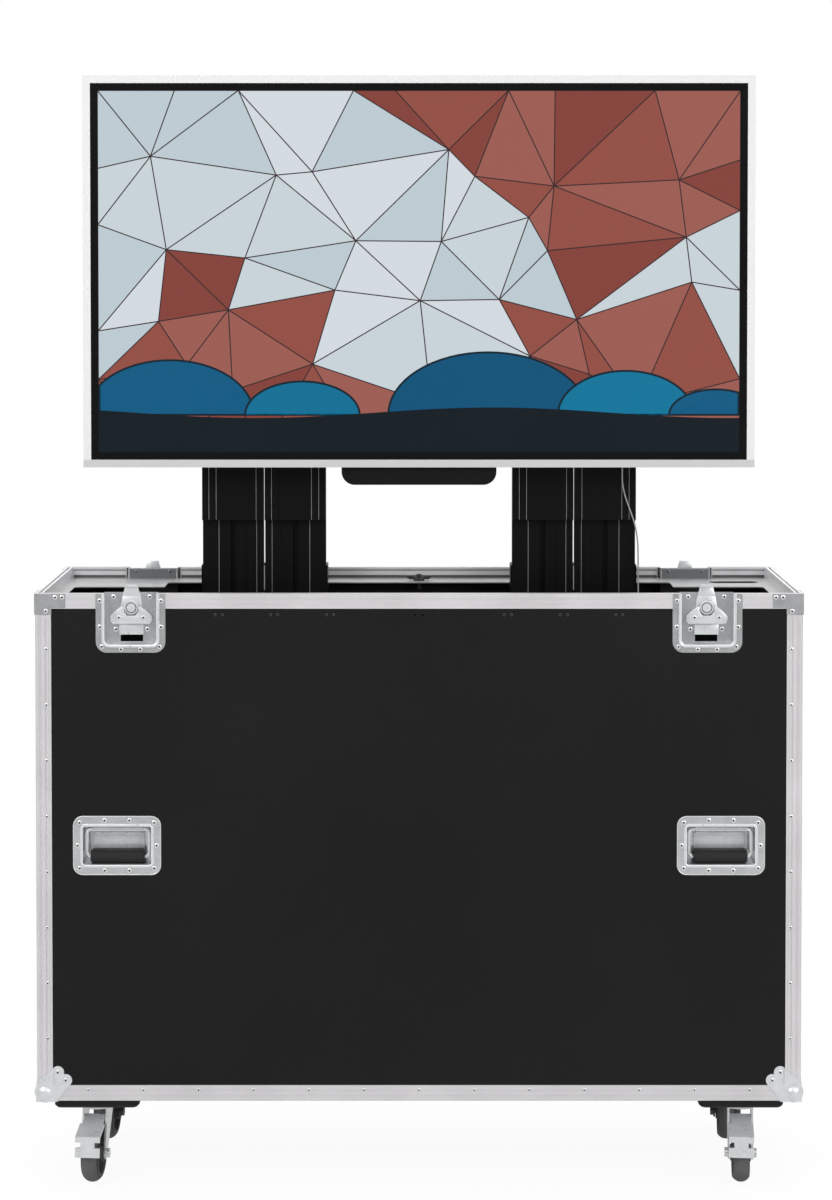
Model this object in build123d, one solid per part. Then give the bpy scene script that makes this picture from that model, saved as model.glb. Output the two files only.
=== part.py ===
from build123d import *
import math
import os

# Television lift in a wheeled flight case. The origin is on the floor under the middle
# of the case, +X to the viewer's right, +Y to the rear and +Z up. Millimetres. The model
# stands with the display fully raised.

# Case body
case_depth = 430.0
case_top = 1100.0
case_base = 167.0
panel_thick = 9.5
panel_recess = 2.0
floor_thick = 12.0

# Aluminium profiles on the case
edge_leg = 29.0
edge_wall = 2.0
edge_radius = 1.6
rib_groove_depth = 0.7
rib_groove_width = 3.0
rim_height = 27.5
rim_inner_leg = 20.0
rim_web = 9.0
rim_inner_wall = 2.0
rim_groove_width = 5.0
rim_groove_depth = 5.0
rim_groove_offset = 4.5

# Corner fittings
corner_plate = 62.0
corner_plate_thick = 1.5
corner_plate_root = 35.0
corner_plate_side = 33.0
corner_lobe_far = 52.6
corner_lobe_near = 38.0
corner_lobe_radius = 11.5
ball_radius = 19.5
ball_inset = 13.2
fit_gap = 0.3
brace_arm_long = 55.0
brace_arm_down = 38.0
brace_arm_width = 30.0
brace_height = 26.0
brace_thick = 1.5

# Recessed butterfly latches
latch_inset = 174.0
latch_flange_width = 127.0
latch_flange_height = 108.0
latch_flange_radius = 20.0
sheet_thick = 1.2
latch_pan_width = 97.5
latch_pan_height = 94.0
latch_pan_depth = 25.0
latch_pan_radius = 11.0
latch_bead_width = 4.0
latch_bead_rise = 0.8
cutout_gap = 0.5
latch_plate_width = 79.0
latch_plate_height = 73.0
latch_plate_thick = 1.6
latch_plate_drop = 2.0
latch_plate_radius = 8.0
hub_drop = 27.0
hub_radius = 12.5
hub_thick = 7.5
hub_nose_radius = 9.0
hub_nose_thick = 1.6
hub_shaft_radius = 4.0
tongue_thick = 3.0
tongue_stroke = 14.1
tongue_play = 0.4
tongue_top_rise = 14.0
tongue_top_width = 22.0
tongue_wide = 40.6
tongue_low_width = 27.0
tongue_below_hub = 15.0
tongue_crease_drop = 16.0
tongue_hook_depth = 4.0
tongue_hook_drop = 5.0
wing_pin_radius = 1.6
wing_pin_fit = 0.08
wing_ear_inner = 13.3
wing_ear_width = 4.5
wing_ear_radius = 4.0
wing_thick = 2.4
wing_half_width = 38.0
wing_shoulder_drop = 18.0
wing_bottom_drop = 30.0
wing_notch_half = 7.0
wing_corner_radius = 4.0
dimple_radius = 4.0
dimple_depth = 0.9
keeper_half = 22.0
keeper_top_drop = 31.1
keeper_height = 18.8
keeper_depth = 5.5
keeper_slot_half = 20.5
keeper_slot_height = 12.4
keeper_slot_drop = 1.1

# Recessed spring handles
handle_inset = 148.0
handle_height = 638.0
handle_flange_width = 161.0
handle_flange_height = 108.7
handle_flange_radius = 18.0
handle_pan_width = 128.0
handle_pan_height = 73.0
handle_pan_depth = 34.0
handle_pan_radius = 6.0
bail_wire_radius = 3.7
bail_half = 57.0
bail_pivot_rise = 27.0
bail_set_back = 15.0
bail_reach = 50.0
bail_bend_radius = 9.0
grip_length = 99.0
grip_radius = 11.8
grip_end_bevel = 2.0
knuckle_half = 46.0
knuckle_wall = 1.8
knuckle_fit = 0.08
knuckle_leaf_height = 20.0
knuckle_leaf_thick = 1.5
dish_bead_width = 3.4
dish_bead_rise = 1.0

# Castors
board_end_inset = 106.5
board_size = 156.0
board_thick = 19.0
board_inset = 17.0
board_corner_radius = 14.0
board_edge_bevel = 4.0
castor_end_inset = 100.0
castor_plate_long = 104.0
castor_plate_wide = 86.0
castor_plate_thick = 4.0
race_radius = 31.0
race_height = 7.0
race_gap = 0.5
wheel_radius = 52.0
wheel_width = 32.0
wheel_tread_radius = 9.0
wheel_hub_radius = 15.0
wheel_hub_half = 19.0
wheel_web_depth = 8.0
wheel_rim_radius = 37.0
axle_radius = 5.0
axle_bore_fit = 0.08
axle_head_radius = 8.5
axle_head_thick = 6.0
castor_trail = 37.0
castor_turn_deg = 5.0
fork_sheet = 3.5
fork_side_gap = 1.0
fork_top_radius = 31.0
fork_crown_thick = 6.0
fork_arm_top = 27.0
fork_arm_low_radius = 12.0
pedal_half = 23.0
pedal_thick = 3.0
pedal_drop = 54.0
pedal_hinge_drop = 14.0
pedal_hinge_behind = 6.0
pedal_toe_lean = 4.5
pedal_neck_half = 18.5
pedal_pin_radius = 3.0
pedal_pin_fit = 0.08
pedal_toe_rise = 20.0
pedal_waist_half = 13.0
pedal_clear = 2.2

# Deck sheet inside the rim
deck_drop = 20.0
deck_thick = 2.0
deck_edge_gap = 0.5
well_side_gap = 29.0
well_front_gap = 26.0
well_rear_gap = 30.0
mast_well_side_gap = 72.5
mast_well_rear_gap = 5.0
well_corner_radius = 12.0
cable_slot_end_inset = 86.0
cable_slot_rear_inset = 78.5
cable_slot_length = 95.0
cable_slot_width = 32.0
batten_width = 30.0
batten_height = 30.0
batten_end_gap = 60.0
deck_lock_rear_inset = 51.5
lock_post_radius = 5.0
lock_post_rise = 13.0
lock_collar_radius = 11.0
lock_collar_rise = 4.0
lock_wing_half = 26.0
lock_wing_inner = 9.0
lock_wing_rise = 10.5
lock_wing_thick = 5.0
lock_pin_drop = 16.0
lock_pin_fit = 0.3

# Masts: two pairs, three stages stacked from the rear to the front
mast_x = 298.0
rail_offset = 60.0
rail_width = 117.0
base_rail_width = 95.0
stage_gap = 0.5
rail_setback = 85.5
top_rail_depth = 18.0
middle_rail_depth = 22.0
base_rail_depth = 32.0
rail_wall = 2.5
rail_rib_groove_width = 3.5
rail_rib_groove_depth = 1.0
top_rail_groove_offsets = (13.0, 27.0)
middle_rail_groove_offset = 31.0
top_rail_length = 801.0
middle_rail_length = 800.0
base_rail_drop = 28.0
base_overlap = 362.0
middle_overlap = 301.0
slot_mouth = 10.0
slot_cavity_width = 18.0
slot_cavity_depth = 5.0
tongue_fit = 0.35
guide_head_height = 48.0
guide_cheek = 2.5
guide_cheek_gap = 0.5
guide_front_gap = 1.0

# Lift drive
screw_setback = 15.0
screw_radius = 8.0
screw_top_drop = 22.0
nut_radius = 13.0
nut_height = 36.0
nut_fit = 0.3
nut_flange_radius = 18.5
nut_flange_thick = 5.0
carrier_half = 8.0
carrier_tie_half = 12.0
carrier_tie_depth = 5.0
carrier_height = 44.0
carrier_rise = 12.0
carrier_yoke_half = 22.0
carrier_yoke_wall = 4.0
bearing_half = 34.0
bearing_height = 16.0
bearing_bore_fit = 0.08
bearing_depth = 34.0
bearing_drop = 14.0
gearbox_half = 27.0
gearbox_height = 32.0
gearbox_gap = 1.0
gearbox_depth = 34.0
gearbox_edge = 3.0
motor_radius = 23.0
motor_length = 44.0
motor_cap_radius = 19.0
motor_cap_length = 4.0
motor_rise = 24.0
foot_half_width = 110.0
foot_front_reach = 2.0
foot_rear_reach = 42.0
foot_thick = 8.0
bracket_low_rise = 141.0
bracket_high_drop = 152.0
bracket_height = 46.0
bracket_sheet = 4.0
bracket_clear = 5.0

# Carriage and display
display_width = 1266.0
display_height = 738.0
display_depth = 60.0
display_rise = 108.0
display_side_room = 67.0
frame_face = 14.5
frame_depth = 13.0
bezel_face = 13.6
bezel_depth = 2.2
bezel_recess = 0.8
screen_thick = 5.0
cover_wall = 2.0
cover_edge_inset = 6.0
cover_taper = 20.0
cover_rear_inset = 60.0
tray_half_width = 146.5
tray_height = 34.0
tray_front_inset = 11.0
tray_back_inset = 7.0
tray_radius = 25.0
cross_bar_low_rise = 193.0
cross_bar_high_rise = 543.0
cross_bar_height = 40.0
cross_bar_thick = 10.0
cross_bar_overhang = 23.5
cross_bar_wall = 2.0
hook_x = 200.0
hook_width = 34.0
hook_rise = 123.0
hook_length = 500.0
hook_reach = 14.0
hook_sheet = 3.0
hook_hole_radius = 4.0
hook_hole_pitch = 100.0

# Controls and cable
box_mast_offset = 122.0
box_width = 150.0
box_wall_gap = 18.5
box_depth = 95.0
box_height = 58.0
box_edge = 4.0
inlet_width = 28.0
inlet_height = 21.0
inlet_reach = 12.0
cable_radius = 1.9
socket_radius = 6.0
socket_reach = 9.0
gland_radius = 6.5
gland_reach = 10.0
socket_mast_offset = 90.0
socket_inset = 9.0
gland_offset = 10.0

# Points of the hanging cable from the socket on the display down to the gland
cable_route = [
    (388.0, 12.0, 1374.0), (388.0, 12.0, 1342.0), (388.3, 21.0, 1311.0), (388.8, 32.5, 1283.0),
    (394.5, 38.0, 1257.0), (404.5, 40.5, 1230.0), (414.5, 42.0, 1200.0), (420.0, 46.5, 1168.0),
    (421.6, 52.0, 1130.0), (422.0, 55.5, 1085.0), (422.8, 56.0, 1032.0), (422.4, 55.2, 976.0),
    (423.2, 55.8, 918.0), (423.0, 54.6, 860.0), (423.8, 55.4, 802.0), (423.4, 54.4, 744.0),
    (424.0, 55.2, 686.0), (423.6, 54.0, 628.0), (424.3, 54.8, 570.0), (424.0, 53.6, 512.0),
    (424.8, 54.6, 454.0), (424.5, 53.6, 398.0), (425.2, 53.8, 344.0), (425.4, 50.0, 296.0),
    (426.0, 39.0, 256.0), (427.0, 20.0, 224.0), (428.2, -6.0, 206.0), (429.4, -32.0, 202.0),
    (430.0, -56.0, 210.0), (430.0, -80.0, 210.0)]

# Working allowances and shares
overrun = 5.0
half_share = 0.5
arc_share = 0.45
quarter_turn = 90.0

# Worked-out places
case_width = display_width + 2 * display_side_room
half_w = case_width / 2
half_d = case_depth / 2
panel_x = half_w - panel_recess
panel_y = half_d - panel_recess
inner_x = panel_x - panel_thick
inner_y = panel_y - panel_thick
floor_low = case_base + panel_recess
floor_top = floor_low + floor_thick
rim_base = case_top - rim_height
panel_top = case_top - rim_web
latch_x = half_w - latch_inset
handle_x = half_w - handle_inset
board_x = half_w - board_end_inset
castor_x = half_w - castor_end_inset
latch_floor_y = half_d - latch_pan_depth + sheet_thick
hub_height = case_top - hub_drop
base_rail_rear = inner_y - rail_setback
base_rail_front = base_rail_rear - base_rail_depth
middle_rail_front = base_rail_front - stage_gap - middle_rail_depth
top_rail_front = middle_rail_front - stage_gap - top_rail_depth
pair_half_width = rail_offset + rail_width / 2
base_rail_bottom = floor_top + foot_thick
base_rail_top = case_top - base_rail_drop
middle_rail_bottom = base_rail_top - base_overlap
middle_rail_top = middle_rail_bottom + middle_rail_length
top_rail_bottom = middle_rail_top - middle_overlap
top_rail_top = top_rail_bottom + top_rail_length
bracket_levels = (base_rail_bottom + bracket_low_rise, base_rail_top - bracket_high_drop)
screw_y = base_rail_rear + screw_setback
screw_top = base_rail_top - screw_top_drop
gearbox_front = base_rail_rear + gearbox_gap
gearbox_rear = gearbox_front + gearbox_depth
foot_front = base_rail_front - foot_front_reach
foot_rear = base_rail_rear + foot_rear_reach
display_back = top_rail_front - cross_bar_thick - hook_reach
display_front = display_back - display_depth
display_bottom = top_rail_bottom + display_rise
display_top = display_bottom + display_height
tray_front = display_front + tray_front_inset
tray_back = display_back - tray_back_inset
cross_bar_levels = (display_bottom + cross_bar_low_rise, display_bottom + cross_bar_high_rise)
cross_bar_half = mast_x + pair_half_width + cross_bar_overhang
hook_bottom = display_bottom + hook_rise
hook_top = hook_bottom + hook_length
well_half_width = display_width / 2 + well_side_gap
well_front = display_front - well_front_gap
well_rear = display_back + well_rear_gap
mast_well_half_width = mast_x + pair_half_width + mast_well_side_gap
mast_well_rear = base_rail_rear + mast_well_rear_gap
cable_slot_x = half_w - cable_slot_end_inset
cable_slot_y = inner_y - cable_slot_rear_inset
deck_lock_y = inner_y - deck_lock_rear_inset
box_x = mast_x + box_mast_offset
box_front = -inner_y + box_wall_gap
socket_x = mast_x + socket_mast_offset
socket_y = display_back - socket_inset
gland_x = box_x + gland_offset
deck_top = case_top - deck_drop
deck_low = deck_top - deck_thick
board_y = half_d - board_inset - board_size / 2
board_low = case_base - board_thick
plate_low = board_low - castor_plate_thick
sides = (-1, 1)

os.makedirs("parts", exist_ok=True)


def block(x0, x1, y0, y1, z0, z1):
    """A box between two opposite corners."""
    middle = Pos((x0 + x1) / 2, (y0 + y1) / 2, (z0 + z1) / 2)
    return middle * Box(x1 - x0, y1 - y0, z1 - z0)


def rod_x(x0, x1, y, z, radius):
    """A round bar along X."""
    turned = Rot(0, quarter_turn, 0) * Cylinder(radius, x1 - x0)
    return Pos((x0 + x1) / 2, y, z) * turned


def rod_y(x, y0, y1, z, radius):
    """A round bar along Y."""
    turned = Rot(quarter_turn, 0, 0) * Cylinder(radius, y1 - y0)
    return Pos(x, (y0 + y1) / 2, z) * turned


def rod_z(x, y, z0, z1, radius):
    """A round bar along Z."""
    return Pos(x, y, (z0 + z1) / 2) * Cylinder(radius, z1 - z0)


def slab_y(face, y0, y1):
    """Thickens a face drawn in X and Z between two Y places."""
    return Pos(0, y1, 0) * extrude(Plane.XZ * face, y1 - y0)


def plate_y(width, height, radius, x, z, y0, y1):
    """An upright plate with four round corners."""
    return Pos(x, 0, z) * slab_y(RectangleRounded(width, height, radius), y0, y1)


def to_rear(shape):
    """The same piece on the rear side of the case."""
    return mirror(shape, about=Plane.XZ)


def both_ends(shape):
    """A piece and its mirror image at the other end of the case."""
    return [shape, mirror(shape, about=Plane.YZ)]


def all_four(shape):
    """A piece at the front left, mirrored to the other three places."""
    return both_ends(shape) + both_ends(to_rear(shape))


def save(name, shapes):
    """Writes one named sub-part from a list of solids."""
    solids = []
    for shape in shapes:
        solids.extend(shape.solids())
    export_step(Compound(label=name, children=solids), f"parts/{name}.step")


def rim_face():
    """Section of the rim profile: a lid groove on top and a channel for the panel."""
    inner = panel_recess + panel_thick + rim_inner_wall
    groove = rim_groove_offset + rim_groove_width
    return [
        (0, 0),
        (rim_groove_offset, 0),
        (rim_groove_offset, -rim_groove_depth),
        (groove, -rim_groove_depth),
        (groove, 0),
        (inner, 0),
        (inner, -rim_inner_leg),
        (inner - rim_inner_wall, -rim_inner_leg),
        (inner - rim_inner_wall, -rim_web),
        (panel_recess, -rim_web),
        (panel_recess, -rim_height),
        (0, -rim_height),
    ]


def edge_face():
    """Section of an edge angle with two shallow grooves on each leg."""
    first = edge_leg / 4
    second = edge_leg * 3 / 5
    low = rib_groove_depth
    points = [(edge_wall, edge_wall), (edge_wall, edge_leg), (0, edge_leg)]
    for start in (second, first):
        points += [(0, start + rib_groove_width), (low, start + rib_groove_width)]
        points += [(low, start), (0, start)]
    points += [(0, edge_radius), (edge_radius, 0)]
    for start in (first, second):
        points += [(start, 0), (start, low)]
        points += [(start + rib_groove_width, low), (start + rib_groove_width, 0)]
    points += [(edge_leg, 0), (edge_leg, edge_wall)]
    return points


def run_x(points, x0, x1):
    """A profile along X at the front of the case; its points are depth and height."""
    section = make_face(Polyline([(0, y, z) for y, z in points], close=True))
    return Pos(x0, 0, 0) * extrude(section, x1 - x0, dir=(1, 0, 0))


def run_y(points, y0, y1):
    """A profile along Y at the left end; its points are depth from the end and height."""
    section = make_face(Polyline([(x, 0, z) for x, z in points], close=True))
    return Pos(0, y0, 0) * extrude(section, y1 - y0, dir=(0, 1, 0))


def latch_cutter():
    """The space of a latch pan in the rim, panel and deck."""
    half = latch_pan_width / 2 + cutout_gap
    low = case_top - latch_pan_height - cutout_gap
    back = -half_d + latch_pan_depth + cutout_gap
    return block(-latch_x - half, -latch_x + half, -half_d - overrun, back, low, case_top + overrun)


def handle_cutter():
    """The hole of a handle pan in the panel."""
    return plate_y(
        handle_pan_width + 2 * cutout_gap, handle_pan_height + 2 * cutout_gap, handle_pan_radius,
        -handle_x, handle_height, -half_d - overrun, -inner_y + overrun)


def make_panels():
    """Laminated plywood walls and floor."""
    front = block(-panel_x, panel_x, -panel_y, -inner_y, floor_low, panel_top)
    for cutter in both_ends(latch_cutter()) + both_ends(handle_cutter()):
        front -= cutter
    end = block(-panel_x, -inner_x, -inner_y, inner_y, floor_low, panel_top)
    bottom = block(-inner_x, inner_x, -inner_y, inner_y, floor_low, floor_top)
    save("case_walls", [front, to_rear(front)] + both_ends(end))
    save("floor_panel", [bottom])


def make_rim():
    """Rim profile round the top opening, cut at the latches."""
    front_points = [(-half_d + u, case_top + v) for u, v in rim_face()]
    end_points = [(-half_w + u, case_top + v) for u, v in rim_face()]
    front = run_x(front_points, -half_w, half_w)
    wall = block(-panel_x, -inner_x, -inner_y, 0, rim_base - overrun, panel_top)
    for cutter in both_ends(latch_cutter()) + both_ends(wall):
        front -= cutter
    reach = half_d - panel_recess - panel_thick - rim_inner_wall
    end = run_y(end_points, -reach, reach)
    save("rim_profiles", [front, to_rear(front)] + both_ends(end))


def ball_shape(grow):
    """The ball of a corner fitting at the lower front left corner."""
    place = Pos(-half_w + ball_inset, -half_d + ball_inset, case_base + ball_inset)
    return place * Sphere(ball_radius + grow)


def make_edges():
    """Ribbed aluminium angles on the upright corners and round the base."""
    section = edge_face()
    tip = block(
        -half_w, -half_w + ball_inset, -half_d, -half_d + ball_inset, case_base, case_base + ball_inset)
    bite = ball_shape(fit_gap) + tip
    base = run_x([(-half_d + u, case_base + v) for u, v in section], -half_w, half_w)
    base = base - bite - mirror(bite, about=Plane.YZ)
    reach = half_d - edge_leg
    end = run_y([(-half_w + u, case_base + v) for u, v in section], -reach, reach)
    end = end - ball_shape(fit_gap) - to_rear(ball_shape(fit_gap))
    face = make_face(Polyline([(-half_w + u, -half_d + v) for u, v in section], close=True))
    low = case_base + edge_leg
    upright = Pos(0, 0, low) * extrude(face, rim_base - low) - ball_shape(fit_gap)
    save("base_edges", [base, to_rear(base)] + both_ends(end))
    save("upright_edges", all_four(upright))


def corner_fan():
    """A corner plate's outline: narrow at the corner and spread towards its two lobes."""
    t = corner_plate_thick
    root = corner_plate_root
    return make_face(Polyline([
        (-t, -t), (root, -t), (corner_plate, corner_plate_side),
        (corner_plate_side, corner_plate), (-t, root)], close=True))


def corner_wing():
    """One corner plate with its corner at the origin: flat on the edge angles, then stepped
    down to the panel, where its lobes are fixed."""
    t = corner_plate_thick
    lobe = Circle(corner_lobe_radius)
    spots = [(corner_lobe_far, corner_lobe_near), (corner_lobe_near, corner_lobe_far)]
    face = corner_fan()
    for across, up in spots:
        face = face + Pos(across, up, 0) * lobe
    far = corner_plate + corner_lobe_radius
    panel_side = block(edge_leg, far, -overrun, overrun, edge_leg, far)
    pocket = block(edge_leg + t, far, -overrun, panel_recess - t, edge_leg + t, far)
    flat = slab_y(face, -t, 0) - panel_side
    stepped = (slab_y(face, -t, panel_recess) & panel_side) - pocket
    return flat + stepped


def make_ball_corners():
    """Pressed ball corners on the four lower corners."""
    t = corner_plate_thick
    wing = corner_wing()
    side = mirror(wing, about=Plane(origin=(0, 0, 0), z_dir=(1, -1, 0)))
    under = extrude(Plane.XY * corner_fan(), -t)
    inner = block(-panel_x, 0, -panel_y, 0, floor_low, case_top)
    corner = Pos(-half_w, -half_d, case_base) * (wing + side + under) + ball_shape(0)
    edge = board_size / 2 + cutout_gap
    board = block(-board_x - edge, 0, -board_y - edge, 0, board_low, case_base)
    corner = corner - inner - board
    save("ball_corners", all_four(corner))


def make_top_braces():
    """Pressed corner braces that tie the rim to the upright edges."""
    t = brace_thick
    outline = [
        (0, 0), (brace_arm_long, 0), (brace_arm_long, -brace_height),
        (brace_arm_width, -brace_height), (brace_arm_width, -brace_arm_down), (0, -brace_arm_down)]
    face = make_face(Polyline(outline, close=True))
    front = Pos(-half_w, -half_d, case_top) * extrude(Plane.XZ * face, t)
    side = Pos(-half_w, -half_d, case_top) * extrude(Plane.YZ * face, -t)
    corner = block(-half_w - t, -half_w, -half_d - t, -half_d, case_top - brace_arm_down, case_top)
    save("top_corner_braces", all_four(front + side + corner))


def latch_dish():
    """Pressed latch dish: a flange with a joggle below the rim, and a pan open at the top."""
    t = sheet_thick
    half = latch_flange_width / 2
    low = case_top - latch_flange_height
    high = block(-half, half, -half_d - t, -half_d, rim_base - t, case_top)
    joggle = block(-half, half, -half_d, -panel_y, rim_base - t, rim_base)
    lower = plate_y(
        latch_flange_width, latch_flange_height, latch_flange_radius, 0,
        case_top - latch_flange_height / 2, -panel_y - t, -panel_y)
    lower = lower & block(-half, half, -half_d, 0, low, rim_base)
    back = -half_d + latch_pan_depth
    bead_front = -half_d - t - latch_bead_rise
    bead = latch_tub(latch_bead_width, bead_front, -panel_y, case_top)
    bead = bead - block(-half, half, -half_d, -panel_y, rim_base, case_top)
    pan = latch_tub(0, -half_d - t, back, case_top)
    hollow = latch_tub(-t, bead_front - overrun, back - t, case_top + overrun)
    slot_high = hub_height - keeper_top_drop - keeper_height - keeper_slot_drop
    slot = block(
        -keeper_slot_half, keeper_slot_half, back - t - overrun, back + overrun,
        slot_high - keeper_slot_height, slot_high)
    dish = (high + joggle + lower + bead + pan) - hollow - slot
    return Pos(-latch_x, 0, 0) * dish


def latch_tub(grow, y0, y1, high):
    """The latch pan's tub: two round lower corners, open at the top, grown on three sides."""
    width = latch_pan_width + 2 * grow
    height = 2 * (latch_pan_height + grow)
    tub = plate_y(width, height, latch_pan_radius + grow, 0, case_top, y0, y1)
    half = width / 2
    return tub & block(-half, half, y0, y1, case_top - height, high)


def latch_base():
    """Base plate of a latch with its keeper bridge."""
    face_y = -latch_floor_y
    high = case_top - latch_plate_drop
    half = latch_plate_width / 2
    front = face_y - latch_plate_thick
    plate = plate_y(
        latch_plate_width, 2 * latch_plate_height, latch_plate_radius, 0, high, front, face_y)
    plate = plate & block(-half, half, front, face_y, high - latch_plate_height, high)
    keeper_high = hub_height - keeper_top_drop
    keeper_low = keeper_high - keeper_height
    keeper = block(-keeper_half, keeper_half, front - keeper_depth, front, keeper_low, keeper_high)
    bore = rod_y(0, front - overrun, face_y + overrun, hub_height, hub_shaft_radius + wing_pin_fit)
    return Pos(-latch_x, 0, 0) * ((plate + keeper) - bore)


def hub_front_y():
    """Y of the hub's rear face: just in front of the tongue."""
    plate_front = -latch_floor_y - latch_plate_thick
    return plate_front - tongue_play - tongue_thick - tongue_play


def latch_hub():
    """Round hub of a latch on its shaft, bored across for the wing's pin."""
    back = hub_front_y()
    front = back - hub_thick
    shaft = rod_y(0, back, -latch_floor_y - tongue_play, hub_height, hub_shaft_radius)
    disc = rod_y(0, front, back, hub_height, hub_radius)
    nose = rod_y(0, front - hub_nose_thick, front, hub_height, hub_nose_radius)
    bore = rod_x(-hub_radius * 2, hub_radius * 2, pin_y(), hub_height, wing_pin_radius + wing_pin_fit)
    return Pos(-latch_x, 0, 0) * (disc + nose + shaft - bore)


def pin_y():
    """Y of the wing's pin, in the middle of the hub."""
    return hub_front_y() - hub_thick / 2


def latch_wing():
    """Butterfly wing: two ears on a pin and a pressed two-lobed plate folded down."""
    y = pin_y()
    z = hub_height
    front = y - wing_ear_radius
    ear_outer = wing_ear_inner + wing_ear_width
    outline = [
        (ear_outer, z + wing_ear_radius), (wing_half_width, z - wing_shoulder_drop),
        (wing_half_width - wing_corner_radius, z - wing_bottom_drop),
        (wing_notch_half, z - wing_bottom_drop),
        (wing_notch_half, z - hub_radius - wing_corner_radius),
        (wing_ear_inner, z - hub_radius * half_share),
        (wing_ear_inner, z + wing_ear_radius)]
    mirrored = [(-x, height) for x, height in reversed(outline)]
    lobe = slab_y(make_face(Polyline(outline, close=True)), front, front + wing_thick)
    other = slab_y(make_face(Polyline(mirrored, close=True)), front, front + wing_thick)
    tie = block(
        -wing_notch_half, wing_notch_half, front, front + wing_thick,
        z - wing_bottom_drop, z - hub_radius - wing_corner_radius)
    wing = lobe + other + tie
    for side in sides:
        start = wing_ear_inner if side > 0 else -ear_outer
        wing = wing + rod_x(start, start + wing_ear_width, y, z, wing_ear_radius)
        x = side * (wing_half_width + wing_notch_half) / 2
        dimple = rod_y(x, front - overrun, front + dimple_depth, z - wing_shoulder_drop, dimple_radius)
        wing = wing - dimple
    pin = rod_x(-wing_ear_inner, wing_ear_inner, y, z, wing_pin_radius)
    return Pos(-latch_x, 0, 0) * (wing + pin)


def latch_tongue():
    """Sliding tongue behind the hub, slotted for the shaft, with its hook above the rim."""
    back = -latch_floor_y - latch_plate_thick - tongue_play
    top = case_top + tongue_top_rise
    crease = case_top - tongue_crease_drop / 2
    waist = hub_height + tongue_below_hub * half_share
    low = hub_height - tongue_below_hub
    outline = [
        (-tongue_top_width / 2, top), (tongue_top_width / 2, top),
        (tongue_top_width / 2, crease), (tongue_wide / 2, waist), (tongue_low_width / 2, low),
        (-tongue_low_width / 2, low), (-tongue_wide / 2, waist), (-tongue_top_width / 2, crease)]
    plate = slab_y(make_face(Polyline(outline, close=True)), back - tongue_thick, back)
    hook = block(
        -tongue_top_width / 2, tongue_top_width / 2, back - tongue_thick - tongue_hook_depth,
        back - tongue_thick, top - tongue_hook_drop, top)
    room = hub_shaft_radius + tongue_play
    slot = block(
        -room, room, back - tongue_thick - overrun, back + overrun,
        hub_height, hub_height + tongue_stroke)
    slot = slot + rod_y(0, back - overrun - tongue_thick, back + overrun, hub_height, room)
    slot = slot + rod_y(
        0, back - overrun - tongue_thick, back + overrun, hub_height + tongue_stroke, room)
    return Pos(-latch_x, 0, 0) * (plate + hook - slot)


def make_latches():
    """Four latches: fixed dishes and plates, and moving hubs, wings and tongues."""
    save("latch_dishes", all_four(latch_dish()) + all_four(latch_base()))
    names = ("front_left", "front_right", "rear_left", "rear_right")
    for name, hub in zip(names, all_four(latch_hub())):
        save(f"latch_hub_{name}", [hub])
    for name, wing in zip(names, all_four(latch_wing())):
        save(f"latch_wing_{name}", [wing])
    for name, tongue in zip(names, all_four(latch_tongue())):
        save(f"latch_tongue_{name}", [tongue])


def bail_y():
    """Y of the bail's plane."""
    return -panel_y + bail_set_back


def handle_dish():
    """Pressed handle dish: a flat flange and a rectangular pan."""
    t = sheet_thick
    flange = plate_y(
        handle_flange_width, handle_flange_height, handle_flange_radius,
        0, handle_height, -panel_y - t, -panel_y)
    back = -panel_y + handle_pan_depth
    pan = plate_y(
        handle_pan_width, handle_pan_height, handle_pan_radius, 0, handle_height, -panel_y, back)
    hollow = plate_y(
        handle_pan_width - 2 * t, handle_pan_height - 2 * t, handle_pan_radius - t,
        0, handle_height, -half_d - overrun, back - t)
    grow = dish_bead_width
    bead = plate_y(
        handle_pan_width + 2 * grow, handle_pan_height + 2 * grow, handle_pan_radius + grow,
        0, handle_height, -panel_y - t - dish_bead_rise, -panel_y - t)
    return Pos(-handle_x, 0, 0) * (flange + bead + pan - hollow)


def handle_knuckle():
    """Rolled strip on the back of the pan that carries the bail's pivot bar."""
    y = bail_y()
    z = handle_height + bail_pivot_rise
    outer = bail_wire_radius + knuckle_fit + knuckle_wall
    back = -panel_y + handle_pan_depth - sheet_thick
    roll = rod_x(-knuckle_half, knuckle_half, y, z, outer)
    leaf = block(
        -knuckle_half, knuckle_half, back - knuckle_leaf_thick, back, z - knuckle_leaf_height, z)
    web = block(-knuckle_half, knuckle_half, y, back, z - knuckle_leaf_thick, z)
    bore = rod_x(-bail_half, bail_half, y, z, bail_wire_radius + knuckle_fit)
    return Pos(-handle_x, 0, 0) * (roll + web + leaf - bore)


def handle_bail():
    """Bent wire bail: a closed loop with its upper bar in the knuckle."""
    y = bail_y()
    high = handle_height + bail_pivot_rise
    low = high - bail_reach
    loop = FilletPolyline(
        (bail_half, y, high), (bail_half, y, low), (-bail_half, y, low), (-bail_half, y, high),
        radius=bail_bend_radius, close=True)
    start = loop @ 0
    section = Plane(origin=start, z_dir=loop % 0) * Circle(bail_wire_radius)
    return Pos(-handle_x, 0, 0) * sweep(section, path=loop)


def handle_grip():
    """Rubber grip moulded over the bail's lower bar."""
    y = bail_y()
    z = handle_height + bail_pivot_rise - bail_reach
    grip = rod_x(-grip_length / 2, grip_length / 2, y, z, grip_radius)
    grip = chamfer(grip.edges(), grip_end_bevel)
    bore = rod_x(-grip_length, grip_length, y, z, bail_wire_radius)
    return Pos(-handle_x, 0, 0) * (grip - bore)


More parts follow.
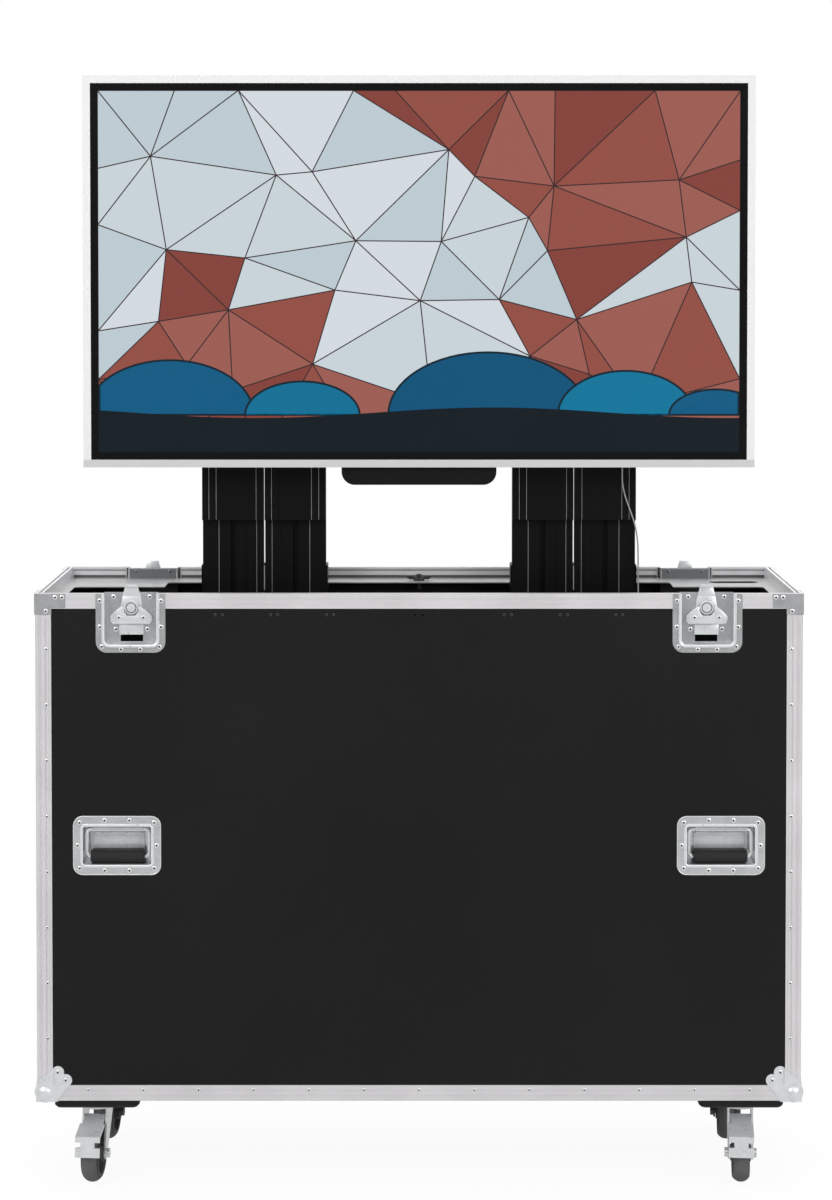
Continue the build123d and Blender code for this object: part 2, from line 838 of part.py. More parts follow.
def make_handles():
    """Four recessed spring handles."""
    save("handle_dishes", all_four(handle_dish()) + all_four(handle_knuckle()))
    names = ("front_left", "front_right", "rear_left", "rear_right")
    pairs = zip(names, all_four(handle_bail()), all_four(handle_grip()))
    for name, bail, grip in pairs:
        save(f"handle_{name}", [bail, grip])


def castor_place(x, y):
    """Frame of a castor: swivel axis at the origin and the trail along -Y."""
    return Pos(x, y, 0) * Rot(0, 0, -castor_turn_deg)


def castor_top(x, y):
    """Fixed mounting plate and the upper ball race."""
    plate = block(
        -castor_plate_wide / 2, castor_plate_wide / 2, -castor_plate_long / 2,
        castor_plate_long / 2, plate_low, board_low)
    race = rod_z(0, 0, plate_low - race_height, plate_low, race_radius)
    return Pos(x, y, 0) * (plate + race)


def castor_fork(braked):
    """Pressed fork: a crown under the race and two tapered arms down to the axle."""
    crown_high = plate_low - race_height - race_gap
    crown_low = crown_high - fork_crown_thick
    inner = wheel_hub_half + fork_side_gap
    outer = inner + fork_sheet
    crown = rod_z(0, 0, crown_low, crown_high, fork_top_radius)
    bridge = block(-outer, outer, -fork_arm_top, fork_arm_top, crown_low, crown_high)
    axle_z = wheel_radius
    low = axle_z
    outline = [
        (fork_arm_top, crown_high), (fork_arm_top, crown_low - fork_crown_thick),
        (-castor_trail + fork_arm_low_radius, low), (-castor_trail - fork_arm_low_radius, low),
        (-fork_arm_top, crown_low - fork_crown_thick), (-fork_arm_top, crown_high)]
    face = make_face(Polyline(outline, close=True))
    fork = crown + bridge
    for side in sides:
        start = inner if side > 0 else -outer
        arm = Pos(start, 0, 0) * extrude(Plane.YZ * face, fork_sheet)
        boss = rod_x(start, start + fork_sheet, -castor_trail, axle_z, fork_arm_low_radius)
        fork = fork + arm + boss
        nut_start = outer if side > 0 else -outer - axle_head_thick
        fork = fork + rod_x(
            nut_start, nut_start + axle_head_thick, -castor_trail, axle_z, axle_head_radius)
    fork = fork + rod_x(-outer, outer, -castor_trail, axle_z, axle_radius)
    if braked:
        y, z = pedal_axis()
        fork = fork - rod_x(-half_w, half_w, y, z, pedal_pin_radius + pedal_pin_fit)
    return fork


def castor_wheel():
    """Wheel with a crowned tread, a recessed web and a hub bored for the axle."""
    half = wheel_width / 2
    web = half - wheel_web_depth
    tyre_in = wheel_rim_radius
    tread = wheel_radius - wheel_tread_radius
    bore = axle_radius + axle_bore_fit
    outline = Polyline(
        (bore, wheel_hub_half), (bore, -wheel_hub_half), (wheel_hub_radius, -wheel_hub_half),
        (wheel_hub_radius, -web), (tyre_in, -web), (tyre_in, -half), (tread, -half))
    crown = ThreePointArc((tread, -half), (wheel_radius, 0), (tread, half))
    upper = Polyline(
        (tread, half), (tyre_in, half), (tyre_in, web), (wheel_hub_radius, web),
        (wheel_hub_radius, wheel_hub_half), (bore, wheel_hub_half))
    face = make_face([outline, crown, upper])
    wheel = revolve(Plane.XZ * face, Axis.Z)
    return Pos(0, -castor_trail, wheel_radius) * Rot(0, quarter_turn, 0) * wheel


def pedal_axis():
    """Y and Z of the brake pedal's pivot in the castor's frame."""
    crown_low = plate_low - race_height - race_gap - fork_crown_thick
    return (-fork_arm_top + pedal_hinge_behind, crown_low - pedal_hinge_drop)


def brake_pedal():
    """Pressed brake pedal: a neck between the fork's arms and a waisted toe before the wheel."""
    y, z = pedal_axis()
    low = z - pedal_drop
    front = -castor_trail - wheel_radius - pedal_clear - pedal_thick
    r = pedal_pin_radius
    neck_y = -castor_trail - fork_arm_low_radius - pedal_thick
    points = [
        (y, z + r), (y + r, z), (y, z - r), (front + pedal_thick, z - pedal_toe_rise),
        (front + pedal_thick - pedal_toe_lean, low), (front - pedal_toe_lean, low),
        (front, z - pedal_toe_rise + pedal_thick)]
    face = make_face(Polyline(points, close=True))
    body = Pos(-pedal_half, 0, 0) * extrude(Plane.YZ * face, pedal_half * 2)
    window_high = z - pedal_drop * half_share
    window_low = window_high - pedal_toe_rise * half_share
    far = front - pedal_toe_lean - overrun
    for side in sides:
        inner = side * pedal_waist_half
        outer = side * (pedal_half + overrun)
        low_x = min(inner, outer)
        high_x = max(inner, outer)
        body = body - block(low_x, high_x, far, front + overrun, window_low, window_high)
        inner = side * pedal_neck_half
        low_x = min(inner, outer)
        high_x = max(inner, outer)
        body = body - block(low_x, high_x, neck_y, y + r + overrun, low, z + r + overrun)
    reach = wheel_hub_half + fork_side_gap + fork_sheet
    return body + rod_x(-reach, reach, y, z, pedal_pin_radius)


def make_castors():
    """Castor boards, mounting plates, swivel forks, wheels and the two front brakes."""
    place = Pos(-board_x, -board_y, (board_low + case_base) / 2)
    board = place * extrude(
        Pos(0, 0, -board_thick / 2) * RectangleRounded(board_size, board_size, board_corner_radius),
        board_thick)
    low_edges = board.edges().group_by(Axis.Z)[0]
    board = chamfer(low_edges, board_edge_bevel)
    save("castor_boards", all_four(board))
    spots = {
        "front_left": (-castor_x, -board_y), "front_right": (castor_x, -board_y),
        "rear_left": (-castor_x, board_y), "rear_right": (castor_x, board_y)}
    save("castor_plates", [castor_top(x, y) for x, y in spots.values()])
    for name, (x, y) in spots.items():
        place = castor_place(x, y)
        save(f"castor_fork_{name}", [place * castor_fork(y < 0)])
        save(f"castor_wheel_{name}", [place * castor_wheel()])
        if y < 0:
            save(f"brake_pedal_{name}", [place * brake_pedal()])


def deck_opening():
    """The wide slot for the display and the deeper part for the masts."""
    high = deck_top + overrun
    low = deck_low - overrun
    wide_y = (well_front + well_rear) / 2
    deep_y = (well_front + mast_well_rear) / 2
    wide = Pos(0, wide_y, low) * extrude(
        RectangleRounded(2 * well_half_width, well_rear - well_front, well_corner_radius), high - low)
    deep = Pos(0, deep_y, low) * extrude(
        RectangleRounded(
            2 * mast_well_half_width, mast_well_rear - well_front, well_corner_radius), high - low)
    oval = Pos(cable_slot_x, cable_slot_y, low) * extrude(
        SlotOverall(cable_slot_length, cable_slot_width), high - low)
    return wide + deep + oval


def make_deck():
    """Silver deck sheet below the rim, and its battens."""
    x = inner_x - deck_edge_gap
    y = inner_y - deck_edge_gap
    deck = block(-x, x, -y, y, deck_low, deck_top) - deck_opening()
    for cutter in all_four(latch_cutter()):
        deck = deck - cutter
    pin_hole = rod_z(
        0, deck_lock_y, deck_low - overrun, deck_top + overrun, lock_post_radius + lock_pin_fit)
    deck = deck - pin_hole
    save("deck_plate", [deck])
    low = deck_low - batten_height
    latch_inner = latch_x - latch_pan_width / 2 - batten_end_gap / 4
    long = block(-latch_inner, latch_inner, -inner_y, -inner_y + batten_width, low, deck_low)
    end = block(
        -inner_x, -inner_x + batten_width * 2 / 3, -inner_y + batten_end_gap,
        inner_y - batten_end_gap, low, deck_low)
    save("deck_battens", [long, to_rear(long)] + both_ends(end))


def make_deck_lock():
    """Wing lock that holds the rear deck flap."""
    y = deck_lock_y
    high = deck_top
    post = rod_z(0, y, deck_top - lock_pin_drop, high + lock_post_rise, lock_post_radius)
    collar = rod_z(0, y, high + fit_gap, high + fit_gap + lock_collar_rise, lock_collar_radius)
    knob = post + collar
    outline = [
        (lock_wing_inner - lock_post_radius, high + lock_collar_rise),
        (lock_wing_half * 2 / 3, high + lock_collar_rise / 2),
        (lock_wing_half, high + lock_wing_rise * 2 / 3), (lock_wing_half * 5 / 6, high + lock_wing_rise),
        (lock_wing_inner, high + lock_wing_rise * 5 / 6)]
    for side in sides:
        points = [(side * x, z) for x, z in outline]
        if side < 0:
            points.reverse()
        wing = slab_y(
            make_face(Polyline(points, close=True)), y - lock_wing_thick / 2, y + lock_wing_thick / 2)
        knob = knob + wing
    save("deck_wing_lock", [knob])


def rail_shape(width, front, depth, low, high, slotted, tongued, grooves):
    """One mast rail: a hollow section with a T slot in front or a T tongue behind."""
    half = width / 2
    back = front + depth
    outer = block(-half, half, front, back, low, high)
    slot_back = front + rail_wall + slot_cavity_depth
    chamber_front = front + rail_wall
    inner_half = slot_cavity_width / 2 + rail_wall if slotted else rail_wall / 2
    for side in sides:
        x0 = inner_half if side > 0 else -half + rail_wall
        x1 = half - rail_wall if side > 0 else -inner_half
        outer = outer - block(
            x0, x1, chamber_front + rail_rib_groove_depth, back - rail_wall, low - overrun, high + overrun)
        for offset in grooves:
            centre = side * (half - offset)
            outer = outer - block(
                centre - rail_rib_groove_width / 2, centre + rail_rib_groove_width / 2,
                front - overrun, front + rail_rib_groove_depth, low - overrun, high + overrun)
    if slotted:
        mouth = slot_mouth / 2
        outer = outer - block(
            -mouth, mouth, front - overrun, front + rail_wall + overrun / 4, low - overrun, high + overrun)
        outer = outer - block(
            -slot_cavity_width / 2, slot_cavity_width / 2, front + rail_wall, slot_back,
            low - overrun, high + overrun)
        rear_room = block(
            -slot_cavity_width / 2, slot_cavity_width / 2, slot_back + rail_wall, back - rail_wall,
            low - overrun, high + overrun)
        if back - rail_wall > slot_back + 2 * rail_wall:
            outer = outer - rear_room
    if tongued:
        neck = slot_mouth / 2 - tongue_fit
        head_half = slot_cavity_width / 2 - tongue_fit
        neck_end = back + stage_gap + rail_wall + tongue_fit
        outer = outer + block(-neck, neck, back, neck_end, low, high)
        outer = outer + block(
            -head_half, head_half, neck_end, back + stage_gap + rail_wall + slot_cavity_depth - tongue_fit,
            low, high)
    return outer


def four_rails(rail):
    """The same rail at the four places of a stage."""
    places = []
    for pair in sides:
        for side in sides:
            places.append(Pos(pair * mast_x + side * rail_offset, 0, 0) * rail)
    return places


def make_rails():
    """Three stages of rails, stacked in depth and hooked by T slots and tongues."""
    top = rail_shape(
        rail_width, top_rail_front, top_rail_depth, top_rail_bottom, top_rail_top,
        False, True, top_rail_groove_offsets)
    middle = rail_shape(
        rail_width, middle_rail_front, middle_rail_depth, middle_rail_bottom, middle_rail_top,
        True, True, (middle_rail_groove_offset,))
    base = rail_shape(
        base_rail_width, base_rail_front, base_rail_depth, base_rail_bottom, base_rail_top,
        True, False, ())
    save("top_rails", four_rails(top))
    save("middle_rails", four_rails(middle))
    save("base_rails", four_rails(base))


def make_guide_heads():
    """Guide heads on the base rails that embrace the middle rails above the deck."""
    inner = pair_half_width + guide_cheek_gap
    outer = inner + guide_cheek
    front = middle_rail_front + guide_front_gap / 2
    tongue_back = middle_rail_front + middle_rail_depth + stage_gap + rail_wall + slot_cavity_depth
    wall_front = tongue_back + guide_front_gap / 2
    head_top = base_rail_top + guide_head_height
    heads = []
    for pair in sides:
        body = block(-outer, outer, wall_front, base_rail_rear, base_rail_top, head_top)
        for side in sides:
            x0 = inner if side > 0 else -outer
            x1 = outer if side > 0 else -inner
            body = body + block(x0, x1, front, wall_front, base_rail_top, head_top)
        heads.append(Pos(pair * mast_x, 0, 0) * body)
    save("guide_heads", heads)


def make_mast_feet():
    """Foot plates on the case floor and wall brackets behind the base rails."""
    feet = []
    brackets = []
    for pair in sides:
        x0 = pair * mast_x - foot_half_width
        x1 = pair * mast_x + foot_half_width
        feet.append(block(x0, x1, foot_front, foot_rear, floor_top, base_rail_bottom))
        near = carrier_yoke_half + bracket_clear
        far = rail_offset + base_rail_width / 2
        for level in bracket_levels:
            for side in sides:
                x0 = pair * mast_x + (near if side > 0 else -far)
                x1 = x0 + far - near
                high = level + bracket_height
                bracket = block(x0, x1, base_rail_rear, inner_y, level, level + bracket_sheet)
                bracket = bracket + block(
                    x0, x1, base_rail_rear, base_rail_rear + bracket_sheet, level, high)
                bracket = bracket + block(x0, x1, inner_y - bracket_sheet, inner_y, level, high)
                brackets.append(bracket)
    save("mast_brackets", feet + brackets)


def make_drive():
    """One screw for each mast pair with its gearbox, motor, nut, carrier and top bearing."""
    motors = []
    boxes = []
    bearings = []
    carriers = []
    nuts = []
    screws = {}
    box_low = base_rail_bottom
    box_high = box_low + gearbox_height
    nut_low = middle_rail_bottom + carrier_rise
    bearing_low = screw_top - bearing_drop
    for name, pair in (("left", -1), ("right", 1)):
        x = pair * mast_x
        box = block(-gearbox_half, gearbox_half, gearbox_front, gearbox_rear, box_low, box_high)
        box = chamfer(box.edges().filter_by(Axis.Z), gearbox_edge)
        box = box - rod_z(0, screw_y, box_low, box_high + overrun, screw_radius + bearing_bore_fit)
        boxes.append(Pos(x, 0, 0) * box)
        motor = rod_y(0, gearbox_rear, gearbox_rear + motor_length, box_low + motor_rise, motor_radius)
        cap_end = gearbox_rear + motor_length + motor_cap_length
        cap = rod_y(0, gearbox_rear + motor_length, cap_end, box_low + motor_rise, motor_cap_radius)
        motors.append(Pos(x, 0, 0) * (motor + cap))
        screw = rod_z(0, screw_y, box_low + rail_wall, screw_top, screw_radius)
        screws[name] = Pos(x, 0, 0) * screw
        nut = rod_z(0, screw_y, nut_low, nut_low + nut_height, nut_radius)
        nut = nut + rod_z(0, screw_y, nut_low - nut_flange_thick, nut_low, nut_flange_radius)
        nut = nut - rod_z(
            0, screw_y, nut_low - overrun * 2, nut_low + nut_height + overrun, screw_radius + nut_fit)
        nuts.append(Pos(x, 0, 0) * nut)
        tie_back = base_rail_front - stage_gap + carrier_tie_depth
        tie = block(
            -carrier_tie_half, carrier_tie_half, base_rail_front - stage_gap, tie_back,
            nut_low, nut_low + carrier_height)
        arm = block(-carrier_half, carrier_half, tie_back, screw_y, nut_low, nut_low + nut_height)
        yoke = block(
            -carrier_yoke_half, carrier_yoke_half, base_rail_rear + stage_gap,
            screw_y + nut_radius + carrier_yoke_wall,
            nut_low, nut_low + nut_height)
        hole = rod_z(0, screw_y, nut_low - overrun, nut_low + nut_height + overrun, nut_radius)
        carriers.append(Pos(x, 0, 0) * (tie + arm + yoke - hole))
        bearing = block(
            -bearing_half, bearing_half, base_rail_rear, base_rail_rear + bearing_depth,
            bearing_low, bearing_low + bearing_height)
        bearing = bearing - rod_z(
            0, screw_y, bearing_low - overrun, bearing_low + bearing_height + overrun,
            screw_radius + bearing_bore_fit)
        bearings.append(Pos(x, 0, 0) * bearing)
    save("gear_motors", boxes + motors)
    save("drive_screw_left", [screws["left"]])
    save("drive_screw_right", [screws["right"]])
    save("lift_nuts", nuts)
    save("nut_carriers", carriers)
    save("screw_bearings", bearings)


def mitred_bars(half_width, low, high, face, front, back):
    """Four mitred bars round a rectangle."""
    bars = []
    across = [(-half_width, low), (half_width, low), (half_width - face, low + face),
              (-half_width + face, low + face)]
    bars.append(slab_y(make_face(Polyline(across, close=True)), front, back))
    upper = [(-half_width, high), (-half_width + face, high - face), (half_width - face, high - face),
             (half_width, high)]
    bars.append(slab_y(make_face(Polyline(upper, close=True)), front, back))
    for side in sides:
        upright = [(side * half_width, low), (side * half_width, high),
                   (side * (half_width - face), high - face), (side * (half_width - face), low + face)]
        bars.append(slab_y(make_face(Polyline(upright, close=True)), front, back))
    return bars


def make_display():
    """Flat display: aluminium frame, black border, screen, rear cover and socket tray."""
    half = display_width / 2
    save("display_frame", mitred_bars(
        half, display_bottom, display_top, frame_face, display_front, display_front + frame_depth))
    inner = half - frame_face
    low = display_bottom + frame_face
    high = display_top - frame_face
    glass_front = display_front + bezel_recess + bezel_depth
    centre_z = (low + high) / 2
    border = slab_y(
        Rectangle(2 * inner, high - low), display_front + bezel_recess, glass_front)
    window = slab_y(
        Rectangle(2 * (inner - bezel_face), high - low - 2 * bezel_face),
        display_front - overrun, glass_front + overrun)
    save("display_bezel", [Pos(0, 0, centre_z) * (border - window)])
    screen = block(-inner, inner, glass_front, glass_front + screen_thick, low, high)
    save("display_screen", [screen])
    cover_front = display_front + frame_depth
    edge = half - cover_edge_inset
    step_y = display_back - cover_taper
    rim_part = slab_y(
        Rectangle(2 * edge, display_top - display_bottom - 2 * cover_edge_inset), cover_front, step_y)
    rear_part = slab_y(
        Rectangle(2 * (edge - cover_rear_inset),
                  display_top - display_bottom - 2 * cover_edge_inset - 2 * cover_rear_inset),
        step_y, display_back)
    w = cover_wall
    hollow = slab_y(
        Rectangle(2 * (edge - w), display_top - display_bottom - 2 * cover_edge_inset - 2 * w),
        cover_front - overrun, step_y - w)
    hollow = hollow + slab_y(
        Rectangle(2 * (edge - cover_rear_inset - w),
                  display_top - display_bottom - 2 * cover_edge_inset - 2 * cover_rear_inset - 2 * w),
        step_y - w - overrun, display_back - w)
    cover = Pos(0, 0, (display_bottom + display_top) / 2) * (rim_part + rear_part - hollow)
    step_z = display_bottom + cover_edge_inset + cover_rear_inset
    socket = rod_z(socket_x, socket_y, step_z - socket_reach, step_z, socket_radius)
    save("display_back_cover", [cover, socket])
    tray = block(
        -tray_half_width, tray_half_width, tray_front, tray_back,
        display_bottom - tray_height, display_bottom)
    corners = tray.edges().filter_by(Axis.Y).group_by(Axis.Z)[0]
    tray = fillet(corners, tray_radius)
    save("connector_tray", [tray])


def make_carriage():
    """Cross bars on the top rails and the upright hooks that carry the display."""
    bars = []
    bar_front = top_rail_front - cross_bar_thick
    for level in cross_bar_levels:
        bar = block(
            -cross_bar_half, cross_bar_half, bar_front, top_rail_front, level, level + cross_bar_height)
        bar = bar - block(
            -cross_bar_half - overrun, cross_bar_half + overrun, bar_front + cross_bar_wall,
            top_rail_front - cross_bar_wall, level + cross_bar_wall,
            level + cross_bar_height - cross_bar_wall)
        bars.append(bar)
    save("cross_bars", bars)
    hooks = []
    for side in sides:
        x0 = side * hook_x - hook_width / 2
        x1 = x0 + hook_width
        hook = block(x0, x1, display_back, display_back + hook_sheet, hook_bottom, hook_top)
        hook = hook + block(x0, x0 + hook_sheet, display_back, bar_front, hook_bottom, hook_top)
        hook = hook + block(x1 - hook_sheet, x1, display_back, bar_front, hook_bottom, hook_top)
        count = int((hook_top - hook_bottom) / hook_hole_pitch)
        for step in range(1, count):
            z = hook_bottom + step * hook_hole_pitch
            hook = hook - rod_y(
                side * hook_x, display_back - overrun, display_back + hook_sheet + overrun,
                z, hook_hole_radius)
        hooks.append(hook)
    save("display_hooks", hooks)


def cable_radii(points):
    """Radius of the arc at each inner point: as large as its two runs allow."""
    radii = []
    for before, here, after in zip(points, points[1:], points[2:]):
        first = Vector(*here) - Vector(*before)
        second = Vector(*after) - Vector(*here)
        turn = math.radians(first.get_angle(second))
        radii.append(arc_share * min(first.length, second.length) / math.tan(turn / 2))
    return radii


def make_cable():
    """Thin cable that hangs from the display beside the right mast to the control box."""
    radii = cable_radii(cable_route)
    path = FilletPolyline(*cable_route, radius=radii)
    section = Plane(origin=path @ 0, z_dir=path % 0) * Circle(cable_radius)
    tube = sweep(section, path=path)
    expected = math.pi * cable_radius ** 2 * path.length
    print("cable radii", [round(radius) for radius in radii])
    print("cable volume", round(tube.volume), "section by length", round(expected))
    save("display_cable", [tube])


def make_controls():
    """Control box on the case floor with its mains inlet and cable gland."""
    half = box_width / 2
    body = block(-half, half, box_front, box_front + box_depth, floor_top, floor_top + box_height)
    body = chamfer(body.edges().filter_by(Axis.Z), box_edge)
    body = Pos(box_x, 0, 0) * body
    inlet_low = floor_top + (box_height - inlet_height) / 2
    inlet = block(
        box_x - half - inlet_reach, box_x - half, box_front + box_depth / 3,
        box_front + box_depth / 3 + inlet_width, inlet_low, inlet_low + inlet_height)
    back = box_front + box_depth
    gland = rod_y(gland_x, back, back + gland_reach, floor_top + box_height / 2, gland_radius)
    save("control_box", [body, inlet, gland])


make_panels()
make_rim()
make_edges()
make_ball_corners()
make_top_braces()
make_latches()
make_handles()
make_castors()
make_deck()
make_deck_lock()
make_rails()
make_guide_heads()
make_mast_feet()
make_drive()
make_display()
make_carriage()
make_controls()
make_cable()
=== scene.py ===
import math
import random

import bmesh
import bpy
from mathutils import Matrix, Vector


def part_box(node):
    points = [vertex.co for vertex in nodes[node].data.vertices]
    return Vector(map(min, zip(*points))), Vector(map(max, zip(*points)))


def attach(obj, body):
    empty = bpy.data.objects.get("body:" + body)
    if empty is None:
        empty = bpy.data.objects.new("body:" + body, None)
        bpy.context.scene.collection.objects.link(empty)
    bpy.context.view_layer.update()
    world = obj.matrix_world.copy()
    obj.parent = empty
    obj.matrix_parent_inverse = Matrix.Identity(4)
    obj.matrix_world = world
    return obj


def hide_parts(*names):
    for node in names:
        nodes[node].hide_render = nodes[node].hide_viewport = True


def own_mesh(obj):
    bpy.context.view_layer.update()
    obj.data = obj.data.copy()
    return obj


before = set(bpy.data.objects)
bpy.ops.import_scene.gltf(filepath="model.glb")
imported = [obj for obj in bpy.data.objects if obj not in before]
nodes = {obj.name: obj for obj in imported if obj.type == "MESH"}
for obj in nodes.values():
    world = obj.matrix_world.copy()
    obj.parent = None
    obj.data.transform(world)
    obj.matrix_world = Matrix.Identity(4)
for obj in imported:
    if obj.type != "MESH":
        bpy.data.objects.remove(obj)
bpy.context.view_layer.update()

# Camera: in front of the case at the photograph's height, tipped down a little.
scene = bpy.context.scene
scene.view_settings.view_transform = "Standard"
camera_data = bpy.data.cameras.new("camera")
camera_data.lens = 78.54
camera_data.shift_x = -0.0025
camera_data.shift_y = -0.212
camera_dip = 1.75
camera = bpy.data.objects.new("camera", camera_data)
camera.location = (0.0, -4.9696, 1.6976)
camera.rotation_euler = (math.radians(90 - camera_dip), 0, 0)
scene.collection.objects.link(camera)
scene.camera = camera


# Cable: a thin grey jacket that leaves a socket under the display, hangs beside the right
# mast and through the deck, and goes into the gland of the control box on the case floor.
class Flow:
    """A number running through a finish, so that a sum written on it adds Math nodes."""

    def __init__(self, finish, socket):
        self.finish = finish
        self.socket = socket

    def maths(self, operation, *others):
        return self.finish.node("ShaderNodeMath", {"operation": operation}, self, *others)

    def __add__(self, other):
        return self.maths("ADD", other)

    __radd__ = __add__

    def __mul__(self, other):
        return self.maths("MULTIPLY", other)

    __rmul__ = __mul__

    def __sub__(self, other):
        return self.maths("SUBTRACT", other)

    def __rsub__(self, other):
        return self.finish.node("ShaderNodeMath", {"operation": "SUBTRACT"}, other, self)

    def __gt__(self, other):
        return self.maths("GREATER_THAN", other)

    def __lt__(self, other):
        return self.maths("LESS_THAN", other)

    def __abs__(self):
        return self.maths("ABSOLUTE")


class Graph:
    """A node tree with a single way to add any node."""

    def __init__(self, tree):
        self.tree = tree

    def node(self, kind, settings, *values, out=0, **named):
        made = self.tree.nodes.new(kind)
        for key, value in settings.items():
            setattr(made, key, value)
        for key, value in [*enumerate(values), *named.items()]:
            socket = made.inputs[key if isinstance(key, int) else key.replace("_", " ")]
            if isinstance(value, Flow):
                self.tree.links.new(value.socket, socket)
            else:
                socket.default_value = value
        return made if out is None else Flow(self, made.outputs[out])

    def place(self, out="Object"):
        """Object coordinates of the surface, or another output of the same node."""
        return self.node("ShaderNodeTexCoord", {}, out=out)

    def parts(self, out="Object"):
        """The three coordinates as numbers."""
        apart = self.node("ShaderNodeSeparateXYZ", {}, self.place(out))
        return [Flow(self, socket) for socket in apart.socket.node.outputs]

    def ray(self, kind):
        """One where the surface is seen by a ray of this kind, and nought elsewhere."""
        return self.node("ShaderNodeLightPath", {}, out=f"Is {kind} Ray")

    def ramp(self, value, *ends):
        """A smooth step from one level to another."""
        return self.node("ShaderNodeMapRange", {"interpolation_type": "SMOOTHSTEP"}, value, *ends)


class Finish(Graph):
    """One material with its Principled shader."""

    def __init__(self, name, colour, **plain):
        self.material = bpy.data.materials.new(name)
        self.material.use_nodes = True
        super().__init__(self.material.node_tree)
        self.shader = self.tree.nodes["Principled BSDF"]
        self.shader.inputs["Base Color"].default_value = (*colour, 1)
        for socket, value in plain.items():
            self.shader.inputs[socket.replace("_", " ")].default_value = value

    def stretched(self, x, y, z):
        """Object coordinates scaled along each axis."""
        return self.node("ShaderNodeMapping", {}, Vector=self.place(), Scale=(x, y, z))

    def noise(self, scale, detail=3.0, at=None):
        return self.node(
            "ShaderNodeTexNoise", {}, Vector=at or self.place(), Scale=scale, Detail=detail)

    def between(self, low, high, share):
        """A colour between two, by a share."""
        mix = self.tree.nodes.new("ShaderNodeMix")
        mix.data_type = "RGBA"
        self.tree.links.new(share.socket, mix.inputs[0])
        for key, value in ((6, low), (7, high)):
            if isinstance(value, Flow):
                self.tree.links.new(value.socket, mix.inputs[key])
            else:
                mix.inputs[key].default_value = (*value, 1)
        return Flow(self, mix.outputs[2])

    def set(self, socket, flow):
        self.tree.links.new(flow.socket, self.shader.inputs[socket])

    def bump(self, height, strength, distance):
        self.set("Normal", self.node(
            "ShaderNodeBump", {}, Height=height, Strength=strength, Distance=distance))

    def on(self, *names):
        """Puts this finish on CAD nodes or on new pieces."""
        for name in names:
            target = nodes[name] if isinstance(name, str) else name
            target.data.materials.clear()
            target.data.materials.append(self.material)


def alone(piece):
    """Selects one object and nothing else."""
    bpy.ops.object.select_all(action="DESELECT")
    piece.select_set(True)
    bpy.context.view_layer.objects.active = piece


def fit(piece, name, body, finish):
    """Names a finished piece, leaves its place in its mesh and rides it on a body."""
    piece.name = name
    alone(piece)
    bpy.ops.object.transform_apply(location=True, rotation=True, scale=True)
    if finish:
        finish.on(piece)
    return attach(piece, body)


cable_route = [
    (388.0, 12.0, 1374.0), (388.0, 12.0, 1342.0), (388.3, 21.0, 1311.0), (388.8, 32.5, 1283.0),
    (394.5, 38.0, 1257.0), (404.5, 40.5, 1230.0), (415.0, 41.4, 1200.0), (420.5, 45.9, 1168.0),
    (421.6, 52.0, 1130.0), (422.0, 55.5, 1085.0), (422.8, 56.0, 1032.0), (422.4, 55.2, 976.0),
    (423.2, 55.8, 918.0), (423.0, 54.6, 860.0), (423.8, 55.4, 802.0), (423.4, 54.4, 744.0),
    (424.0, 55.2, 686.0), (423.6, 54.0, 628.0), (424.3, 54.8, 570.0), (424.0, 53.6, 512.0),
    (424.8, 54.6, 454.0), (424.5, 53.6, 398.0), (425.2, 53.8, 344.0), (425.4, 50.0, 296.0),
    (426.0, 39.0, 256.0), (427.0, 20.0, 224.0), (428.2, -6.0, 206.0), (429.4, -32.0, 202.0),
    (430.0, -56.0, 210.0), (430.0, -80.0, 210.0)]
cable_radius = 0.0014
jacket = Finish("grey_jacket", (0.33, 0.34, 0.34), Roughness=0.45)
jacket.set("Roughness", 0.42 + jacket.noise(80.0) * 0.1)
cable_line = bpy.data.curves.new("cable_line", "CURVE")
cable_line.dimensions = "3D"
cable_line.resolution_u = 8
strand = cable_line.splines.new("NURBS")
strand.points.add(len(cable_route) - 1)
for point, place in zip(strand.points, cable_route):
    point.co = (*(value / 1000 for value in place), 1)
strand.order_u = 3
strand.use_endpoint_u = True
cable = bpy.data.objects.new("hanging_cable", cable_line)
scene.collection.objects.link(cable)
cable_path = [tuple(vertex.co) for vertex in bpy.data.meshes.new_from_object(cable).vertices]
cable_line.bevel_depth = cable_radius
cable_line.bevel_resolution = 2
cable_line.use_fill_caps = True
alone(cable)
bpy.ops.object.convert(target="MESH")
bpy.ops.object.shade_smooth()
fit(cable, "hanging_cable", "case", jacket)
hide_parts("display_cable")
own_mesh(cable)

# Studio: a pale floor, a white surround that metals see as a bright sky over a grey horizon,
# and large soft lamps.
world = bpy.data.worlds.new("surround")
scene.world = world
world.use_nodes = True
world.node_tree.nodes.clear()
sky = Graph(world.node_tree)
x, y, z = sky.parts("Generated")
glossy = sky.ray("Glossy")
soft_light = sky.ramp(z, -0.3, 0.9, 0.3, 0.85)
sheen = sky.ramp(z, -0.02, 0.5, 0.14, 1.0) + sky.ramp(y, -0.1, 0.5, 0.0, 0.4)
level = soft_light + glossy * (sheen.maths("MINIMUM", 1.0) - soft_light)
pure = sky.ray("Camera").maths("MAXIMUM", sky.ray("Transmission"))
white = sky.node("ShaderNodeBackground", {}, (1, 1, 1, 1), level + pure * (1.0 - level))
sky.node("ShaderNodeOutputWorld", {}, Surface=white, out=None)

